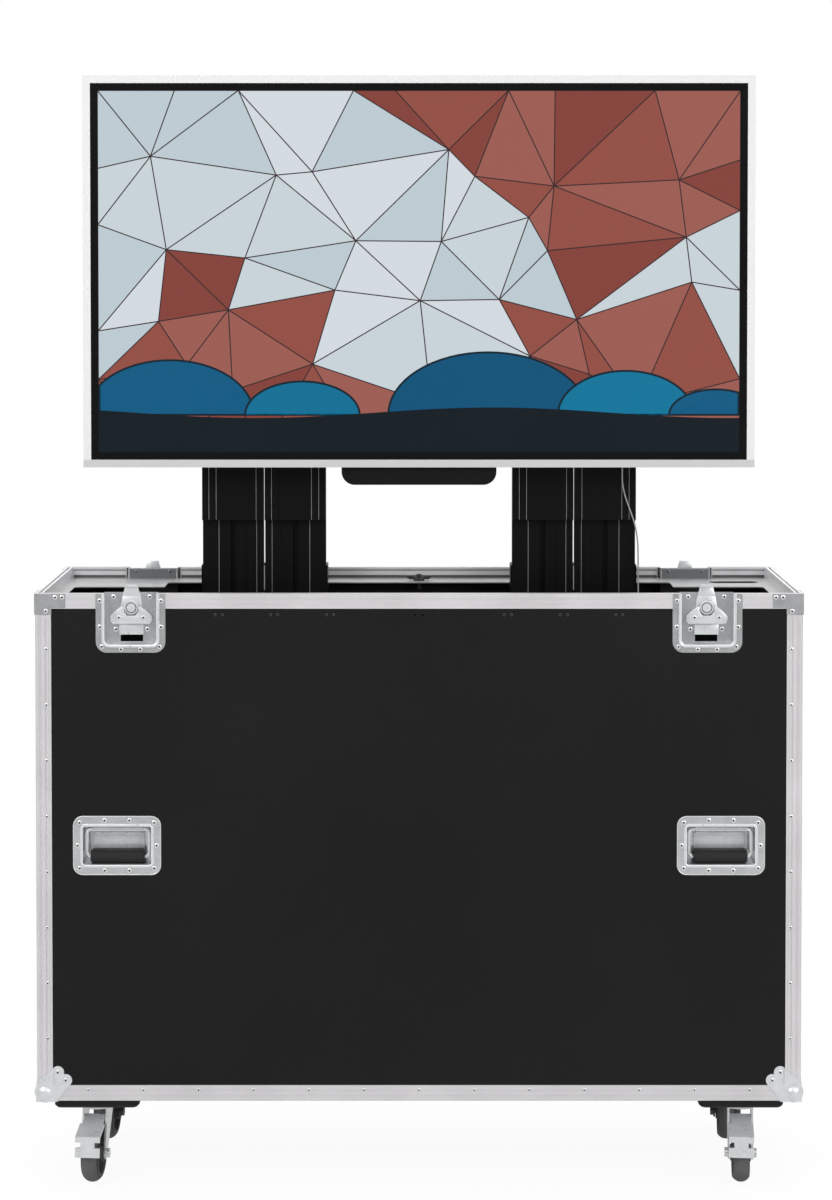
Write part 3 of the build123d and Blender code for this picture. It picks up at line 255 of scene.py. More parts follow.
for name, place, turn, size, power in (
    ("key_lamp", (-2.6, -3.6, 3.6), (52, 0, -36), 2.4, 95),
    ("fill_lamp", (3.0, -3.4, 2.2), (66, 0, 42), 2.2, 55),
    ("top_lamp", (0.0, 0.6, 4.6), (0, 0, 0), 3.0, 55),
    ("rear_lamp", (0.2, 3.4, 4.6), (-42, 0, 3), 2.4, 75),
):
    lamp_data = bpy.data.lights.new(name, "AREA")
    lamp_data.size = size
    lamp_data.energy = power
    lamp = bpy.data.objects.new(name, lamp_data)
    lamp.location = place
    lamp.rotation_euler = [math.radians(angle) for angle in turn]
    scene.collection.objects.link(lamp)


def start(kind, **settings):
    """A new primitive, with nothing else selected."""
    bpy.ops.object.select_all(action="DESELECT")
    getattr(bpy.ops.mesh, f"primitive_{kind}_add")(**settings)
    return bpy.context.object


floor = start("plane", size=60, location=(0, 0, 0))
floor.name = "floor"
ground_paint = Finish("pale_floor", (0.94, 0.94, 0.94), Roughness=0.9)
x, y, z = ground_paint.parts()
away = (x * x + y * y).maths("SQRT")
far = ground_paint.ramp(away, 0.9, 2.6, 0.94, 1.0)
glow = ground_paint.node("ShaderNodeEmission", {}, (1, 1, 1, 1), 1.0)
grey = ground_paint.node(
    "ShaderNodeEmission", {}, (1, 1, 1, 1), ground_paint.ramp(away, 0.4, 8.0, 0.62, 0.3))
painted = Flow(ground_paint, ground_paint.shader.outputs[0])
lit = ground_paint.node("ShaderNodeMixShader", {}, far * ground_paint.ray("Camera"), painted, glow)
mirrored = ground_paint.node("ShaderNodeMixShader", {}, ground_paint.ray("Glossy"), lit, grey)
ground_paint.tree.links.new(
    mirrored.socket, ground_paint.tree.nodes["Material Output"].inputs["Surface"])
ground_paint.on(floor)

# Case walls: plywood faced with black laminate that has a fine embossed grain of small
# hexagons. They sit in the aluminium profiles, and black blind rivets in pairs hold the
# battens behind them.
quarters = ("front_left", "front_right", "rear_left", "rear_right")
case_low, case_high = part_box("rim_profiles")
half_wide = case_high[0]
half_deep = case_high[1]
rim_top = case_high[2]
rim_low = case_low[2]
panel_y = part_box("case_walls")[1][1]
laminate = Finish(
    "black_laminate", (0.007, 0.007, 0.0075), Roughness=0.5, Specular_IOR_Level=0.16)
cells = laminate.node(
    "ShaderNodeTexVoronoi", {"feature": "DISTANCE_TO_EDGE"},
    Vector=laminate.place(), Scale=170.0, Randomness=0.12)
raised = cells.maths("MINIMUM", 0.22)
patch = laminate.noise(2.2, 4.0)
laminate.set(
    "Base Color", laminate.between((0.0055, 0.0055, 0.006), (0.0105, 0.0105, 0.011), patch))
laminate.set("Roughness", 0.42 + patch * 0.16 - raised * 0.3)
laminate.bump(raised, 0.55, 0.0006)
laminate.on("case_walls", "floor_panel")


def choose(piece, test):
    """Goes into edit mode with only those faces selected that pass a test."""
    alone(piece)
    bpy.ops.object.mode_set(mode="EDIT")
    bpy.ops.mesh.select_mode(type="FACE")
    bpy.ops.mesh.select_all(action="DESELECT")
    shape = bmesh.from_edit_mesh(piece.data)
    for face in shape.faces:
        if test(face.calc_center_median(), face.normal):
            face.select_set(True)
    bmesh.update_edit_mesh(piece.data)


def leave():
    """Back to object mode."""
    bpy.ops.object.mode_set(mode="OBJECT")


def soften(piece, width, segments=2, angle=30):
    """Rounds a piece's edges with a bevel and shades them smooth."""
    alone(piece)
    bevel = piece.modifiers.new("edges", "BEVEL")
    bevel.width = width
    bevel.segments = segments
    bevel.limit_method = "ANGLE"
    bevel.angle_limit = math.radians(angle)
    bpy.ops.object.modifier_apply(modifier=bevel.name)
    bpy.ops.object.shade_smooth_by_angle(angle=math.radians(40))
    return piece


def block(x0, x1, y0, y1, z0, z1):
    """A box between two corners, with its place in its mesh."""
    piece = start("cube", size=1, location=((x0 + x1) / 2, (y0 + y1) / 2, (z0 + z1) / 2))
    piece.scale = (abs(x1 - x0), abs(y1 - y0), abs(z1 - z0))
    bpy.ops.object.transform_apply(location=True, rotation=True, scale=True)
    return piece


def joined(pieces):
    """Several pieces made one object."""
    bpy.ops.object.select_all(action="DESELECT")
    for piece in pieces:
        piece.select_set(True)
    bpy.context.view_layer.objects.active = pieces[0]
    if len(pieces) > 1:
        bpy.ops.object.join()
    return pieces[0]


def copies(model, places):
    """Copies of a model that faces -Y, each with its own mesh, as one object. A place is
    x, y, z and a turn about Z in degrees."""
    made = []
    for x, y, z, turn in places:
        twin = model.copy()
        twin.data = model.data.copy()
        twin.data.transform(
            Matrix.Translation((x, y, z)) @ Matrix.Rotation(math.radians(turn), 4, "Z"))
        scene.collection.objects.link(twin)
        made.append(twin)
    return joined(made)


def repeat(model, places, name, body, finish):
    """Copies of a model as one finished piece; the model itself goes."""
    fit(copies(model, places), name, body, finish)
    bpy.data.objects.remove(model)


def four(places):
    """Front left places, mirrored to the other three corners of the case."""
    found = []
    for x, y, z, turn in places:
        found += [
            (x, y, z, turn), (-x, y, z, -turn), (x, -y, z, 180 - turn), (-x, -y, z, turn - 180)]
    return found


def blind_rivet(radius):
    """A low domed head with the hole of its pulled stem in its middle, the hole painted dark as shade,
    facing -Y at the origin.
    """
    head = start("cylinder", vertices=14, radius=radius, depth=0.0008, rotation=(math.pi / 2, 0, 0))
    bpy.ops.object.transform_apply(location=False, rotation=True, scale=False)
    choose(head, lambda centre, normal: normal.y < -0.9)
    bpy.ops.mesh.inset(thickness=radius * 0.3, depth=radius * 0.16)
    bpy.ops.mesh.inset(thickness=radius * 0.24, depth=0.0)
    bpy.ops.mesh.inset(thickness=radius * 0.05, depth=-radius * 0.3)
    leave()
    bpy.ops.object.shade_smooth_by_angle(angle=math.radians(50))
    head.data.materials.append(None)
    head.data.materials.append(hole_shade.material)
    for face in head.data.polygons:
        spot = face.center
        if math.hypot(spot.x, spot.z) < radius * 0.42 and spot.y > -0.0004 - radius * 0.16 + 1e-5:
            face.material_index = 1
    return head


def riveted(name, model, places, finish, body="case"):
    """Rivets of one finish at many places; their hole keeps its dark painted shade."""
    piece = copies(model, places)
    piece.data.materials[0] = finish.material
    return fit(piece, name, body, None)


# Dark paint standing for the shade inside rivet holes and in the latch hubs' ring grooves: painted
# shade.
hole_shade = Finish("painted_hole_shade", (0.02, 0.02, 0.022), Metallic=0.6, Roughness=0.6)
hole_shade.set("Roughness", 0.5 + hole_shade.noise(200.0) * 0.2)
enamel = Finish("black_enamel", (0.025, 0.025, 0.027), Roughness=0.35)
enamel.set("Roughness", 0.3 + enamel.noise(90.0) * 0.15)
small_rivet = blind_rivet(0.0028)
rivet_seat = 0.0003
pair_drop = 0.0115
pair_places = []
for centre in (0.0, 0.162, 0.264, 0.365):
    for gap in (-0.0065, 0.0065):
        pair_places += four([(centre + gap, -panel_y - rivet_seat, rim_low - pair_drop, 0)])
riveted("panel_rivets", small_rivet, pair_places, enamel)

# Castor boards: plywood pads painted black, with bevelled lower edges, bolted under the
# case between the base profiles.
board = Finish("black_board", (0.008, 0.008, 0.009), Roughness=0.55, Specular_IOR_Level=0.3)
grain = board.noise(60.0, 4.0, board.stretched(0.2, 1.0, 3.0))
board.set("Roughness", 0.45 + grain * 0.2)
board.bump(grain, 0.25, 0.0008)
board.on("castor_boards")

# Aluminium profiles: extruded edge angles with ribs along them and the grooved rim section
# that a lid fits into. Mill finish, scuffed all over, held with blind rivets.
profile = Finish("mill_aluminium", (0.7, 0.69, 0.7), Metallic=0.45, Roughness=0.4)
scuff = profile.noise(9.0, 6.0)
fine = profile.noise(420.0, 2.0)
profile.set("Base Color", profile.between((0.58, 0.565, 0.58), (0.74, 0.725, 0.74), scuff))
profile.set("Roughness", 0.32 + scuff * 0.16 + fine * 0.08)
profile.bump(fine, 0.12, 0.0004)
profile.on("rim_profiles", "base_edges", "upright_edges")
rib_stand = 0.0006


def rib(x0, x1, z, height):
    """A rib along X on the front face of a profile, narrowed towards its crest."""
    ridge = block(
        x0, x1, -half_deep - rib_stand, -half_deep + 0.0002, z - height / 2, z + height / 2)
    choose(ridge, lambda centre, normal: normal.y < -0.9)
    bpy.ops.transform.resize(value=(1, 1, 0.35))
    leave()
    return ridge


def rim_lengths(end_reach, latch_reach):
    """The rim's straight lengths along X, between its ends and its latches."""
    return (
        (-half_wide + end_reach, -latch_x - latch_reach),
        (-latch_x + latch_reach, latch_x - latch_reach),
        (latch_x + latch_reach, half_wide - end_reach))


latch_x = 0.526
brace_reach = 0.0552
dish_reach = 0.0637
rim_ribs = []
for drop, height in ((0.0068, 0.0011), (0.0101, 0.0011), (0.0184, 0.0014)):
    z = rim_top - drop
    for x0, x1 in rim_lengths(brace_reach, dish_reach):
        rim_ribs.append(rib(x0, x1, z, height))
    end_rib = rib(-half_deep + brace_reach, half_deep - brace_reach, z, height)
    end_rib.data.transform(
        Matrix.Translation((-half_wide + half_deep, 0, 0))
        @ Matrix.Rotation(-math.pi / 2, 4, "Z"))
    rim_ribs.append(end_rib)
case_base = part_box("base_edges")[0][2]
corner_reach = 0.064
brace_drop = 0.047
upright_low = case_base + corner_reach
upright_high = rim_top - brace_drop
upright_span = upright_high - upright_low
for inset in (0.0055, 0.0105, 0.0175, 0.0245):
    standing = rib(-upright_span / 2, upright_span / 2, 0, 0.0016)
    standing.data.transform(
        Matrix.Translation((-half_wide + inset, 0, (upright_low + upright_high) / 2))
        @ Matrix.Rotation(math.pi / 2, 4, "Y"))
    mirrored_rib = standing.copy()
    mirrored_rib.data = standing.data.copy()
    mirrored_rib.data.transform(Matrix.Translation((2 * (half_wide - inset), 0, 0)))
    scene.collection.objects.link(mirrored_rib)
    rim_ribs += [standing, mirrored_rib]
front_ribs = joined(rim_ribs)
rear_ribs = copies(front_ribs, [(0, 0, 0, 180)])
fit(joined([front_ribs, rear_ribs]), "rim_ribs", "case", profile)
# Painted shade: thin dark strips on the rim's inner wall stand for the shade in its upper groove and the
# shadow gap at the wall's foot above the deck, and upright dark strips beside each latch dish stand for
# the shadow gaps there.
groove_shade_finish = Finish("groove_shade", (0.09, 0.09, 0.092), Metallic=0.3, Roughness=0.5)
groove_shade_finish.set("Roughness", 0.45 + groove_shade_finish.noise(120.0) * 0.1)
rim_wall = 0.0135
end_wall = 0.016
cut_reach = 0.055
rim_inside = rim_wall - half_deep
groove_back = rim_inside - 0.0002
groove_low = rim_top - 0.0198
groove_shade_strips = []
for low, high in ((rim_top - 0.0062, rim_top - 0.0044), (groove_low, rim_top - 0.0150)):
    for x0, x1 in rim_lengths(end_wall, cut_reach):
        groove_shade_strips.append(block(x0, x1, groove_back, rim_inside + 0.0004, low, high))
for middle in (-latch_x, latch_x):
    for across in (-0.0516, 0.0516):
        x = middle + across
        groove_shade_strips.append(block(
            x - 0.0017, x + 0.0017, groove_back, rim_inside + 0.0006, groove_low, rim_top - 0.0004))
front_groove_shade = joined(groove_shade_strips)
rear_groove_shade = copies(front_groove_shade, [(0, 0, 0, 180)])
fit(joined([front_groove_shade, rear_groove_shade]), "rim_groove_shade", "case", groove_shade_finish)

plain_rivet = blind_rivet(0.0034)
stud = Finish("rivet_aluminium", (0.86, 0.87, 0.88), Metallic=0.75, Roughness=0.25)
stud.set("Roughness", 0.22 + stud.noise(150.0) * 0.12)
rivet_inset = 0.0203
base_pitch = 0.101
end_pitch = 0.085
upright_pitch = 0.1023
upright_first = 0.9985
front_seat = half_deep + rivet_seat
end_seat = half_wide + rivet_seat
rivet_line = case_base + rivet_inset
edge_places = [(step * base_pitch, -front_seat, rivet_line, 0) for step in range(-6, 7)]
edge_places += [(x, -y, z, 180) for x, y, z, turn in edge_places]
for step in range(8):
    z = upright_first - step * upright_pitch
    edge_places += four([
        (-half_wide + rivet_inset, -front_seat, z, 0),
        (-end_seat, -half_deep + rivet_inset, z, -90)])
for y in (-end_pitch, 0.0, end_pitch):
    edge_places += [(-end_seat, y, rivet_line, -90), (end_seat, y, rivet_line, 90)]
riveted("profile_rivets", plain_rivet, edge_places, stud)

# Corner fittings: pressed steel balls with plates on the lower corners and pressed braces
# on the upper ones, bright zinc plated and riveted on. The pressed beads get a painted
# highlight and the backs inside the latch dishes painted shade, both told by their place.
zinc = Finish("bright_zinc", (0.75, 0.77, 0.78), Metallic=0.85, Roughness=0.2)
spangle = zinc.noise(34.0, 4.0)
brushed = zinc.noise(300.0, 2.0)
bead_face = 0.2147
dish_back = 0.1907
x, y, z = zinc.parts()
# Masks by place: bead lays a painted highlight on the pressed beads, and the dish-back mask lays painted
# shade on the backs inside the latch dishes.
high = z > 0.9
bead = (abs(y) > bead_face + high * 0.0017) * (abs(x) < 0.64 - high * 0.05)
dish_back_shade = (abs(y) < dish_back) * high
bright = zinc.between((0.6, 0.62, 0.63), (0.9, 0.92, 0.93), spangle)
bead_highlighted = zinc.between(bright, (0.95, 0.96, 0.96), bead)
zinc.set("Base Color", zinc.between(bead_highlighted, (0.2, 0.205, 0.21), dish_back_shade))
zinc.set("Metallic", 0.85 - bead * 0.5)
zinc.set("Roughness", 0.13 + spangle * 0.12 + brushed * 0.04 + dish_back_shade * 0.2)
zinc.bump(spangle, 0.2, 0.0016)
zinc.on("top_corner_braces", "latch_dishes", "handle_dishes", "castor_plates")
pressed = Finish("pressed_zinc", (0.7, 0.72, 0.73), Metallic=0.4, Roughness=0.28)
clouds = pressed.noise(60.0, 4.0)
pressed.set("Base Color", pressed.between((0.56, 0.58, 0.59), (0.76, 0.78, 0.79), clouds))
pressed.set("Roughness", 0.2 + clouds * 0.2)
pressed.bump(clouds, 0.15, 0.001)
pressed.on("ball_corners")
broad_rivet = blind_rivet(0.0041)
fitting_seat = 0.0018
end_panel_step = 0.002
corner_places = []
for across, down in ((0.0367, 0.0065), (0.0495, 0.0065), (0.02, 0.0317)):
    corner_places += four([
        (-half_wide + across, -half_deep - fitting_seat, rim_top - down, 0),
        (-half_wide - fitting_seat, -half_deep + across, rim_top - down, -90)])
for across, up in ((0.0526, 0.038), (0.038, 0.0526)):
    corner_places += four([
        (-half_wide + across, -panel_y - fitting_seat, case_base + up, 0),
        (-half_wide + end_panel_step - fitting_seat, -half_deep + across, case_base + up, -90)])
riveted("corner_rivets", broad_rivet, corner_places, stud)

# Butterfly latches: a pressed dish in the rim with a wing that turns a hub and draws a
# tongue down, all zinc plated. The dish and the base plate inside it are riveted.
sheet = 0.0012
latch_depth = 0.025
base_plate = 0.0016
rim_seat = -front_seat - sheet
panel_seat = -panel_y - sheet - rivet_seat
plate_seat = latch_depth - half_deep - sheet - base_plate - rivet_seat
latch_places = []
for across, y, down in (
    (0.0559, rim_seat, 0.013), (0.0559, panel_seat, 0.061), (0.0525, panel_seat, 0.097),
    (0.0176, panel_seat, 0.102), (0.0331, plate_seat, 0.0084), (0.0288, plate_seat, 0.0678),
):
    for side in (-1, 1):
        latch_places.append((-latch_x + side * across, y, rim_top - down, 0))
riveted("latch_rivets", broad_rivet, four(latch_places), stud)


def bead_ring(width, height, radius, wide, rise):
    """A raised bead round the inside of a rounded rectangle, facing -Y at the origin."""
    ring = start("plane", size=1, rotation=(math.pi / 2, 0, 0))
    ring.scale = (width, height, 1)
    bpy.ops.object.transform_apply(location=False, rotation=True, scale=True)
    choose(ring, lambda centre, normal: True)
    bpy.ops.mesh.bevel(offset=radius, segments=7, affect="VERTICES")
    bpy.ops.mesh.inset(thickness=wide, depth=0)
    bpy.ops.mesh.delete(type="FACE")
    bpy.ops.mesh.select_all(action="SELECT")
    bpy.ops.mesh.inset(thickness=wide * 0.34, depth=rise)
    leave()
    bpy.ops.object.shade_smooth_by_angle(angle=math.radians(60))
    return ring


def cut_sheet(outline, front, thick, edge):
    """A flat piece facing -Y with a drawn outline: a filled circle with its points moved."""
    sheet_piece = start("circle", vertices=len(outline), radius=1, fill_type="NGON")
    for vertex, (x, z) in zip(sheet_piece.data.vertices, outline):
        vertex.co = (x / 1000, front, z / 1000)
    choose(sheet_piece, lambda centre, normal: True)
    bpy.ops.mesh.extrude_region_move(TRANSFORM_OT_translate={"value": (0, thick, 0)})
    bpy.ops.mesh.select_all(action="SELECT")
    bpy.ops.mesh.normals_make_consistent(inside=False)
    leave()
    return soften(sheet_piece, edge, 2)


def both_sides(half):
    """An outline's right half, with its mirror added."""
    return half + [(-x, z) for x, z in reversed(half)]


hub_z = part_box("latch_wing_front_left")[1][2] - 0.004
pan_bead = bead_ring(0.1058, 0.1962, 0.0125, 0.0042, 0.0007)
choose(pan_bead, lambda centre, normal: True)
bpy.ops.mesh.bisect(plane_co=(0, 0, 0), plane_no=(0, 0, 1), clear_outer=True)
leave()
bead_places = four([(-latch_x, -half_deep - 0.0021, rim_top, 0)])
repeat(pan_bead, bead_places, "latch_beads", "case", pressed)

at_latches = four([(-latch_x, 0, 0, 0)])
keeper_half = 0.0222
keeper_cap = block(-keeper_half, keeper_half, -0.1994, -0.198, hub_z - 0.0500, hub_z - 0.0309)
soften(keeper_cap, 0.0006, 2)
repeat(keeper_cap, at_latches, "latch_keepers", "case", pressed)

pan_back = half_deep - latch_depth - 0.0002
back_edges = []
for x in (-0.0474, 0.0474):
    back_edges.append(block(
        x - 0.0009, x + 0.0009, pan_back - 0.0006, pan_back + 0.0004,
        rim_top - 0.0205, rim_top - 0.0006))
back_edges.append(block(
    -0.046, 0.046, pan_back - 0.0004, pan_back + 0.0004, rim_top - 0.002, rim_top - 0.0008))
repeat(joined(back_edges), at_latches, "latch_back_edges", "case", pressed)
tails = []
for middle in (-latch_x, latch_x):
    for across in (-0.0331, 0.0331):
        tails += [
            (middle + across, pan_back - rivet_seat, rim_top - 0.0070, 0),
            (middle + across, -pan_back + rivet_seat, rim_top - 0.0070, 180)]
riveted("latch_rivet_tails", plain_rivet, tails, zinc)

wing_face = -0.2042
wing_edge = 0.0005
wing_model = cut_sheet(
    both_sides([
        (17.4, 1.6), (26.5, -4.5), (37.8, -15.5), (37.8, -24.0), (33.5, -29.8), (0.1, -29.8)])
    + both_sides([(13.4, 1.6), (13.4, -6.2), (8.0, -14.6)])[::-1],
    wing_face, 0.0024, wing_edge)
pins = copies(broad_rivet, [(x, wing_face - 0.0002, -0.018, 0) for x in (-0.0225, 0.0225)])
wing_model = joined([wing_model, pins])

hub_middle = -0.2003
hub_model = start(
    "cylinder", vertices=40, radius=0.0124, depth=0.0075, location=(0, hub_middle, 0),
    rotation=(math.pi / 2, 0, 0))
bpy.ops.object.transform_apply(location=True, rotation=True, scale=True)
choose(hub_model, lambda centre, normal: normal.y < -0.9)
for wide, deep in ((0.0004, 0.0005), (0.0022, 0), (0.0003, -0.0012), (0.0009, 0), (0.0005, 0.0018)):
    bpy.ops.mesh.inset(thickness=wide, depth=deep)
leave()
bpy.ops.object.shade_smooth_by_angle(angle=math.radians(35))
# Faces in the hub's ring groove take the dark hole paint: painted shade in the groove.
hub_model.data.materials.append(None)
hub_model.data.materials.append(hole_shade.material)
for face in hub_model.data.polygons:
    spot = face.center
    across = math.hypot(spot.x, spot.z)
    in_groove = 0.0088 < across < 0.0099 and spot.y < hub_middle - 0.0028
    face.material_index = 1 if in_groove else 0

tongue_face = -0.1961
tongue_thick = 0.0026
upper_outline = both_sides([(10.6, 41.0), (16.3, 22.0), (16.3, 20.6)])
lower_outline = both_sides([(16.4, 20.4), (20.2, 0.0), (20.2, -7.5), (13.5, -14.8)])
tongue_model = joined([
    cut_sheet(upper_outline, tongue_face - 0.0003, tongue_thick, wing_edge),
    cut_sheet(lower_outline, tongue_face, tongue_thick, wing_edge),
    block(-0.0163, 0.0163, -0.1955, -0.1945, 0.0195, 0.0215),
    block(-0.0108, 0.0108, -0.2001, -0.1955, 0.0368, 0.0409)])
for quarter in quarters:
    across = -latch_x if quarter.endswith("left") else latch_x
    turn = 0 if quarter.startswith("front") else 180
    for part_name, model in (("hub", hub_model), ("wing", wing_model), ("tongue", tongue_model)):
        made = copies(model, [(across, 0, hub_z, turn)])
        if len(made.data.materials):
            made.data.materials[0] = pressed.material
        else:
            made.data.materials.append(pressed.material)
        body = f"latch_{part_name}_{quarter}"
        fit(made, f"latch_{part_name}_visual_{quarter}", body, None)
        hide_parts(body)
for model in (hub_model, wing_model, tongue_model):
    bpy.data.objects.remove(model)

# Spring handles: a pressed dish let into the panel, a wire bail hinged in a rolled knuckle
# and a rubber grip moulded on the bail's lower bar.
handle_x = 0.552
handle_z = 0.638
grip_half = 0.0496
bail = Finish("bail_and_grip", (0.7, 0.71, 0.72), Metallic=1.0, Roughness=0.2)
x, y, z = bail.parts()
rubber = (abs(abs(x) - handle_x) < grip_half) * (z < handle_z - 0.0105)
moulded = bail.noise(260.0, 2.0)
bail.set("Base Color", bail.between((0.86, 0.87, 0.88), (0.008, 0.008, 0.009), rubber))
bail.set("Metallic", 0.7 - rubber * 0.7)
bail.set("Roughness", 0.18 + rubber * 0.6 + moulded * 0.08)
bail.bump(moulded * rubber, 0.3, 0.0005)
for quarter in quarters:
    bail.on(f"handle_{quarter}")
handle_places = []
for across, rises in ((0.0722, (0,)), (0.068, (-0.04185, 0.04185)), (0.0226, (-0.04605, 0.04605))):
    for x in (-handle_x - across, -handle_x + across):
        handle_places += [(x, panel_seat, handle_z + rise, 0) for rise in rises]
riveted("handle_rivets", broad_rivet, four(handle_places), stud)
for name, ring, lift in (
    ("handle_beads", (0.1348, 0.0798, 0.0094, 0.0036, 0.0006), 0.0009),
    ("handle_edges", (0.1606, 0.1083, 0.0178, 0.0014, 0.0003), 0.0001),
):
    ring_places = four([(-handle_x, -panel_y - sheet - lift, handle_z, 0)])
    repeat(bead_ring(*ring), ring_places, name, "case", pressed)
leaf_half = 0.0475
leaf_front = -panel_y + 0.0303
leaf_top = handle_z + 0.0235
leaf_cover = block(
    -leaf_half, leaf_half, leaf_front, leaf_front + 0.0011, handle_z - 0.0115, leaf_top)
soften(leaf_cover, 0.0004, 2)
leaf_step = block(
    -leaf_half, leaf_half, leaf_front - 0.0006, leaf_front + 0.0002, leaf_top - 0.010, leaf_top)
soften(leaf_step, 0.0003, 2)
leaf_pins = copies(
    plain_rivet, [(x, leaf_front - 0.0008, leaf_top - 0.005, 0) for x in (-0.044, -0.015, 0.015, 0.044)])
at_handles = four([(-handle_x, 0, 0, 0)])
leaf_cover = joined([leaf_cover, leaf_step])
repeat(leaf_cover, at_handles, "handle_leaves", "case", pressed)
riveted("handle_leaf_rivets", leaf_pins, at_handles, stud)
bpy.data.objects.remove(leaf_pins)

# Castors: pressed forks on ball races, brake pedals on the front pair, and dark wheels
# with dusty grey treads, bolted to the boards.
tyre = Finish("grey_rubber", (0.09, 0.09, 0.09), Roughness=0.75)
dust = tyre.noise(34.0, 5.0)
facing = tyre.node(
    "ShaderNodeVectorMath", {"operation": "DOT_PRODUCT"}, tyre.place("Normal"),
    (0.996195, -0.087156, 0.0), out="Value")
flank = abs(facing) > 0.75
tread = tyre.between((0.05, 0.05, 0.05), (0.125, 0.122, 0.12), dust)
tyre.set("Base Color", tyre.between(tread, (0.02, 0.02, 0.021), flank))
tyre.set("Roughness", 0.62 + dust * 0.25 - flank * 0.15)
tyre.bump(dust, 0.2, 0.0015)
# The rear forks get the zinc darkened to a dark grey, as painted shade for the shadow under the case.
shaded_zinc = Finish("rear_fork_shade", (0.1, 0.1, 0.1), Metallic=0.6, Roughness=0.45)
shaded_zinc.set("Roughness", 0.4 + shaded_zinc.noise(60.0) * 0.2)
for quarter in quarters:
    tyre.on(f"castor_wheel_{quarter}")
    fork_finish = zinc if quarter.startswith("front") else shaded_zinc
    fork_finish.on(f"castor_fork_{quarter}")
for quarter in quarters[:2]:
    pressed.on(f"brake_pedal_{quarter}")


def hex_bolt(across, height):
    """A six-sided head on a thin washer, facing -Y at the origin."""
    washer = start(
        "cylinder", vertices=24, radius=across * 0.66, depth=0.0012, location=(0, -0.0004, 0),
        rotation=(math.pi / 2, 0, 0))
    soften(washer, 0.0003, 1)
    head = start(
        "cylinder", vertices=6, radius=across * 0.577, depth=height,
        location=(0, -0.001 - height / 2, 0), rotation=(math.pi / 2, 0, 0))
    soften(head, height * 0.12, 1)
    bolt = joined([washer, head])
    bpy.ops.object.transform_apply(location=True, rotation=True, scale=True)
    return bolt


def facing_down(model, places):
    """Copies of a model that faces -Y, turned to face the floor."""
    turned = model.copy()
    turned.data = model.data.copy()
    turned.data.transform(Matrix.Rotation(math.radians(90), 4, "X"))
    scene.collection.objects.link(turned)
    piece = copies(turned, places)
    bpy.data.objects.remove(turned)
    return piece


plate_bolt = hex_bolt(0.010, 0.004)
plate_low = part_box("castor_plates")[0][2] + 0.007
bolt_places = []
for castor_x in (-0.6, 0.6):
    for castor_y in (-0.12, 0.12):
        for across in (-0.031, 0.031):
            for along in (-0.040, 0.040):
                bolt_places.append((castor_x + across, castor_y + along, plate_low, 0))
fit(facing_down(plate_bolt, bolt_places), "castor_bolts", "case", zinc)

# Deck: a brushed silver sheet with the display's well cut out of it, on black battens,
# with a wing lock that holds the rear flap.
deck = Finish("silver_deck", (0.4, 0.41, 0.42), Metallic=0.7, Roughness=0.3)
lines = deck.noise(40.0, 3.0, deck.stretched(0.15, 6.0, 1.0))
deck.set("Roughness", 0.22 + lines * 0.16)
deck.set("Base Color", deck.between((0.36, 0.365, 0.37), (0.48, 0.485, 0.49), lines))
deck.on("deck_plate")
batten = Finish("black_batten", (0.008, 0.008, 0.009), Roughness=0.6, Specular_IOR_Level=0.25)
rings = batten.noise(8.0, 4.0, batten.stretched(0.4, 6.0, 6.0))
batten.set("Roughness", 0.5 + rings * 0.2)
batten.bump(rings, 0.3, 0.001)
batten.on("deck_battens")
enamel.on("deck_wing_lock")

# Masts: extruded aluminium rails, anodised black, with narrow grooves whose edges get
# painted highlights as bright strips. Three stages hook into each other by their slots and tongues.
anodised = Finish(
    "black_anodised", (0.003, 0.003, 0.0035), Roughness=0.36, Specular_IOR_Level=0.16)
streak = anodised.noise(30.0, 3.0, anodised.stretched(6.0, 6.0, 0.1))
anodised.set("Roughness", 0.32 + streak * 0.14)
anodised.on("top_rails", "middle_rails", "base_rails", "guide_heads", "nut_carriers")
groove_highlight = Finish("groove_highlight", (0.5, 0.5, 0.51), Metallic=0.5, Roughness=0.35)
groove_highlight.set("Roughness", 0.3 + groove_highlight.noise(150.0) * 0.15)
mast_x = 0.298
rail_offset = 0.06
inner_offset = 0.0452
groove_floor = 0.001


def groove_highlight_strips(name, node, body, offsets, wide):
    """Painted highlights: bright strips in the grooves of each rail of a stage, and one near its inner
    edge.
    """
    low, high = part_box(node)
    face = low[1]
    foot = low[2] + 0.001
    top = high[2] - 0.001
    strips = []
    for pair in (-1, 1):
        for side in (-1, 1):
            for offset in offsets:
                x = pair * mast_x + side * (rail_offset + offset)
                strip = block(
                    x - wide / 2, x + wide / 2, face + groove_floor * 0.4,
                    face + groove_floor + 0.0001, foot, top)
                strips.append(soften(strip, 0.0002, 1))
            x = pair * mast_x + side * (rail_offset - inner_offset)
            strips.append(
                block(x - wide / 3, x + wide / 3, face - 0.0002, face + 0.0001, foot, top))
    fit(joined(strips), name, body, groove_highlight)


groove_highlight_strips("top_rail_highlights", "top_rails", "carriage", (0.0455, 0.0315), 0.0009)
groove_highlight_strips("middle_rail_highlights", "middle_rails", "mast_middle", (0.0275,), 0.0009)
head_low, head_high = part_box("guide_heads")
# Painted light: bright strips in the gap between the two rails of each mast, for the light seen through
# it.
gap_half = 0.0008
gap_highlights = [
    block(
        x - gap_half, x + gap_half, head_low[1] + 0.0004, head_low[1] + 0.0012,
        head_low[2], head_high[2] - 0.0005)
    for x in (-mast_x, mast_x)]
fit(joined(gap_highlights), "guide_gap_highlights", "case", groove_highlight)

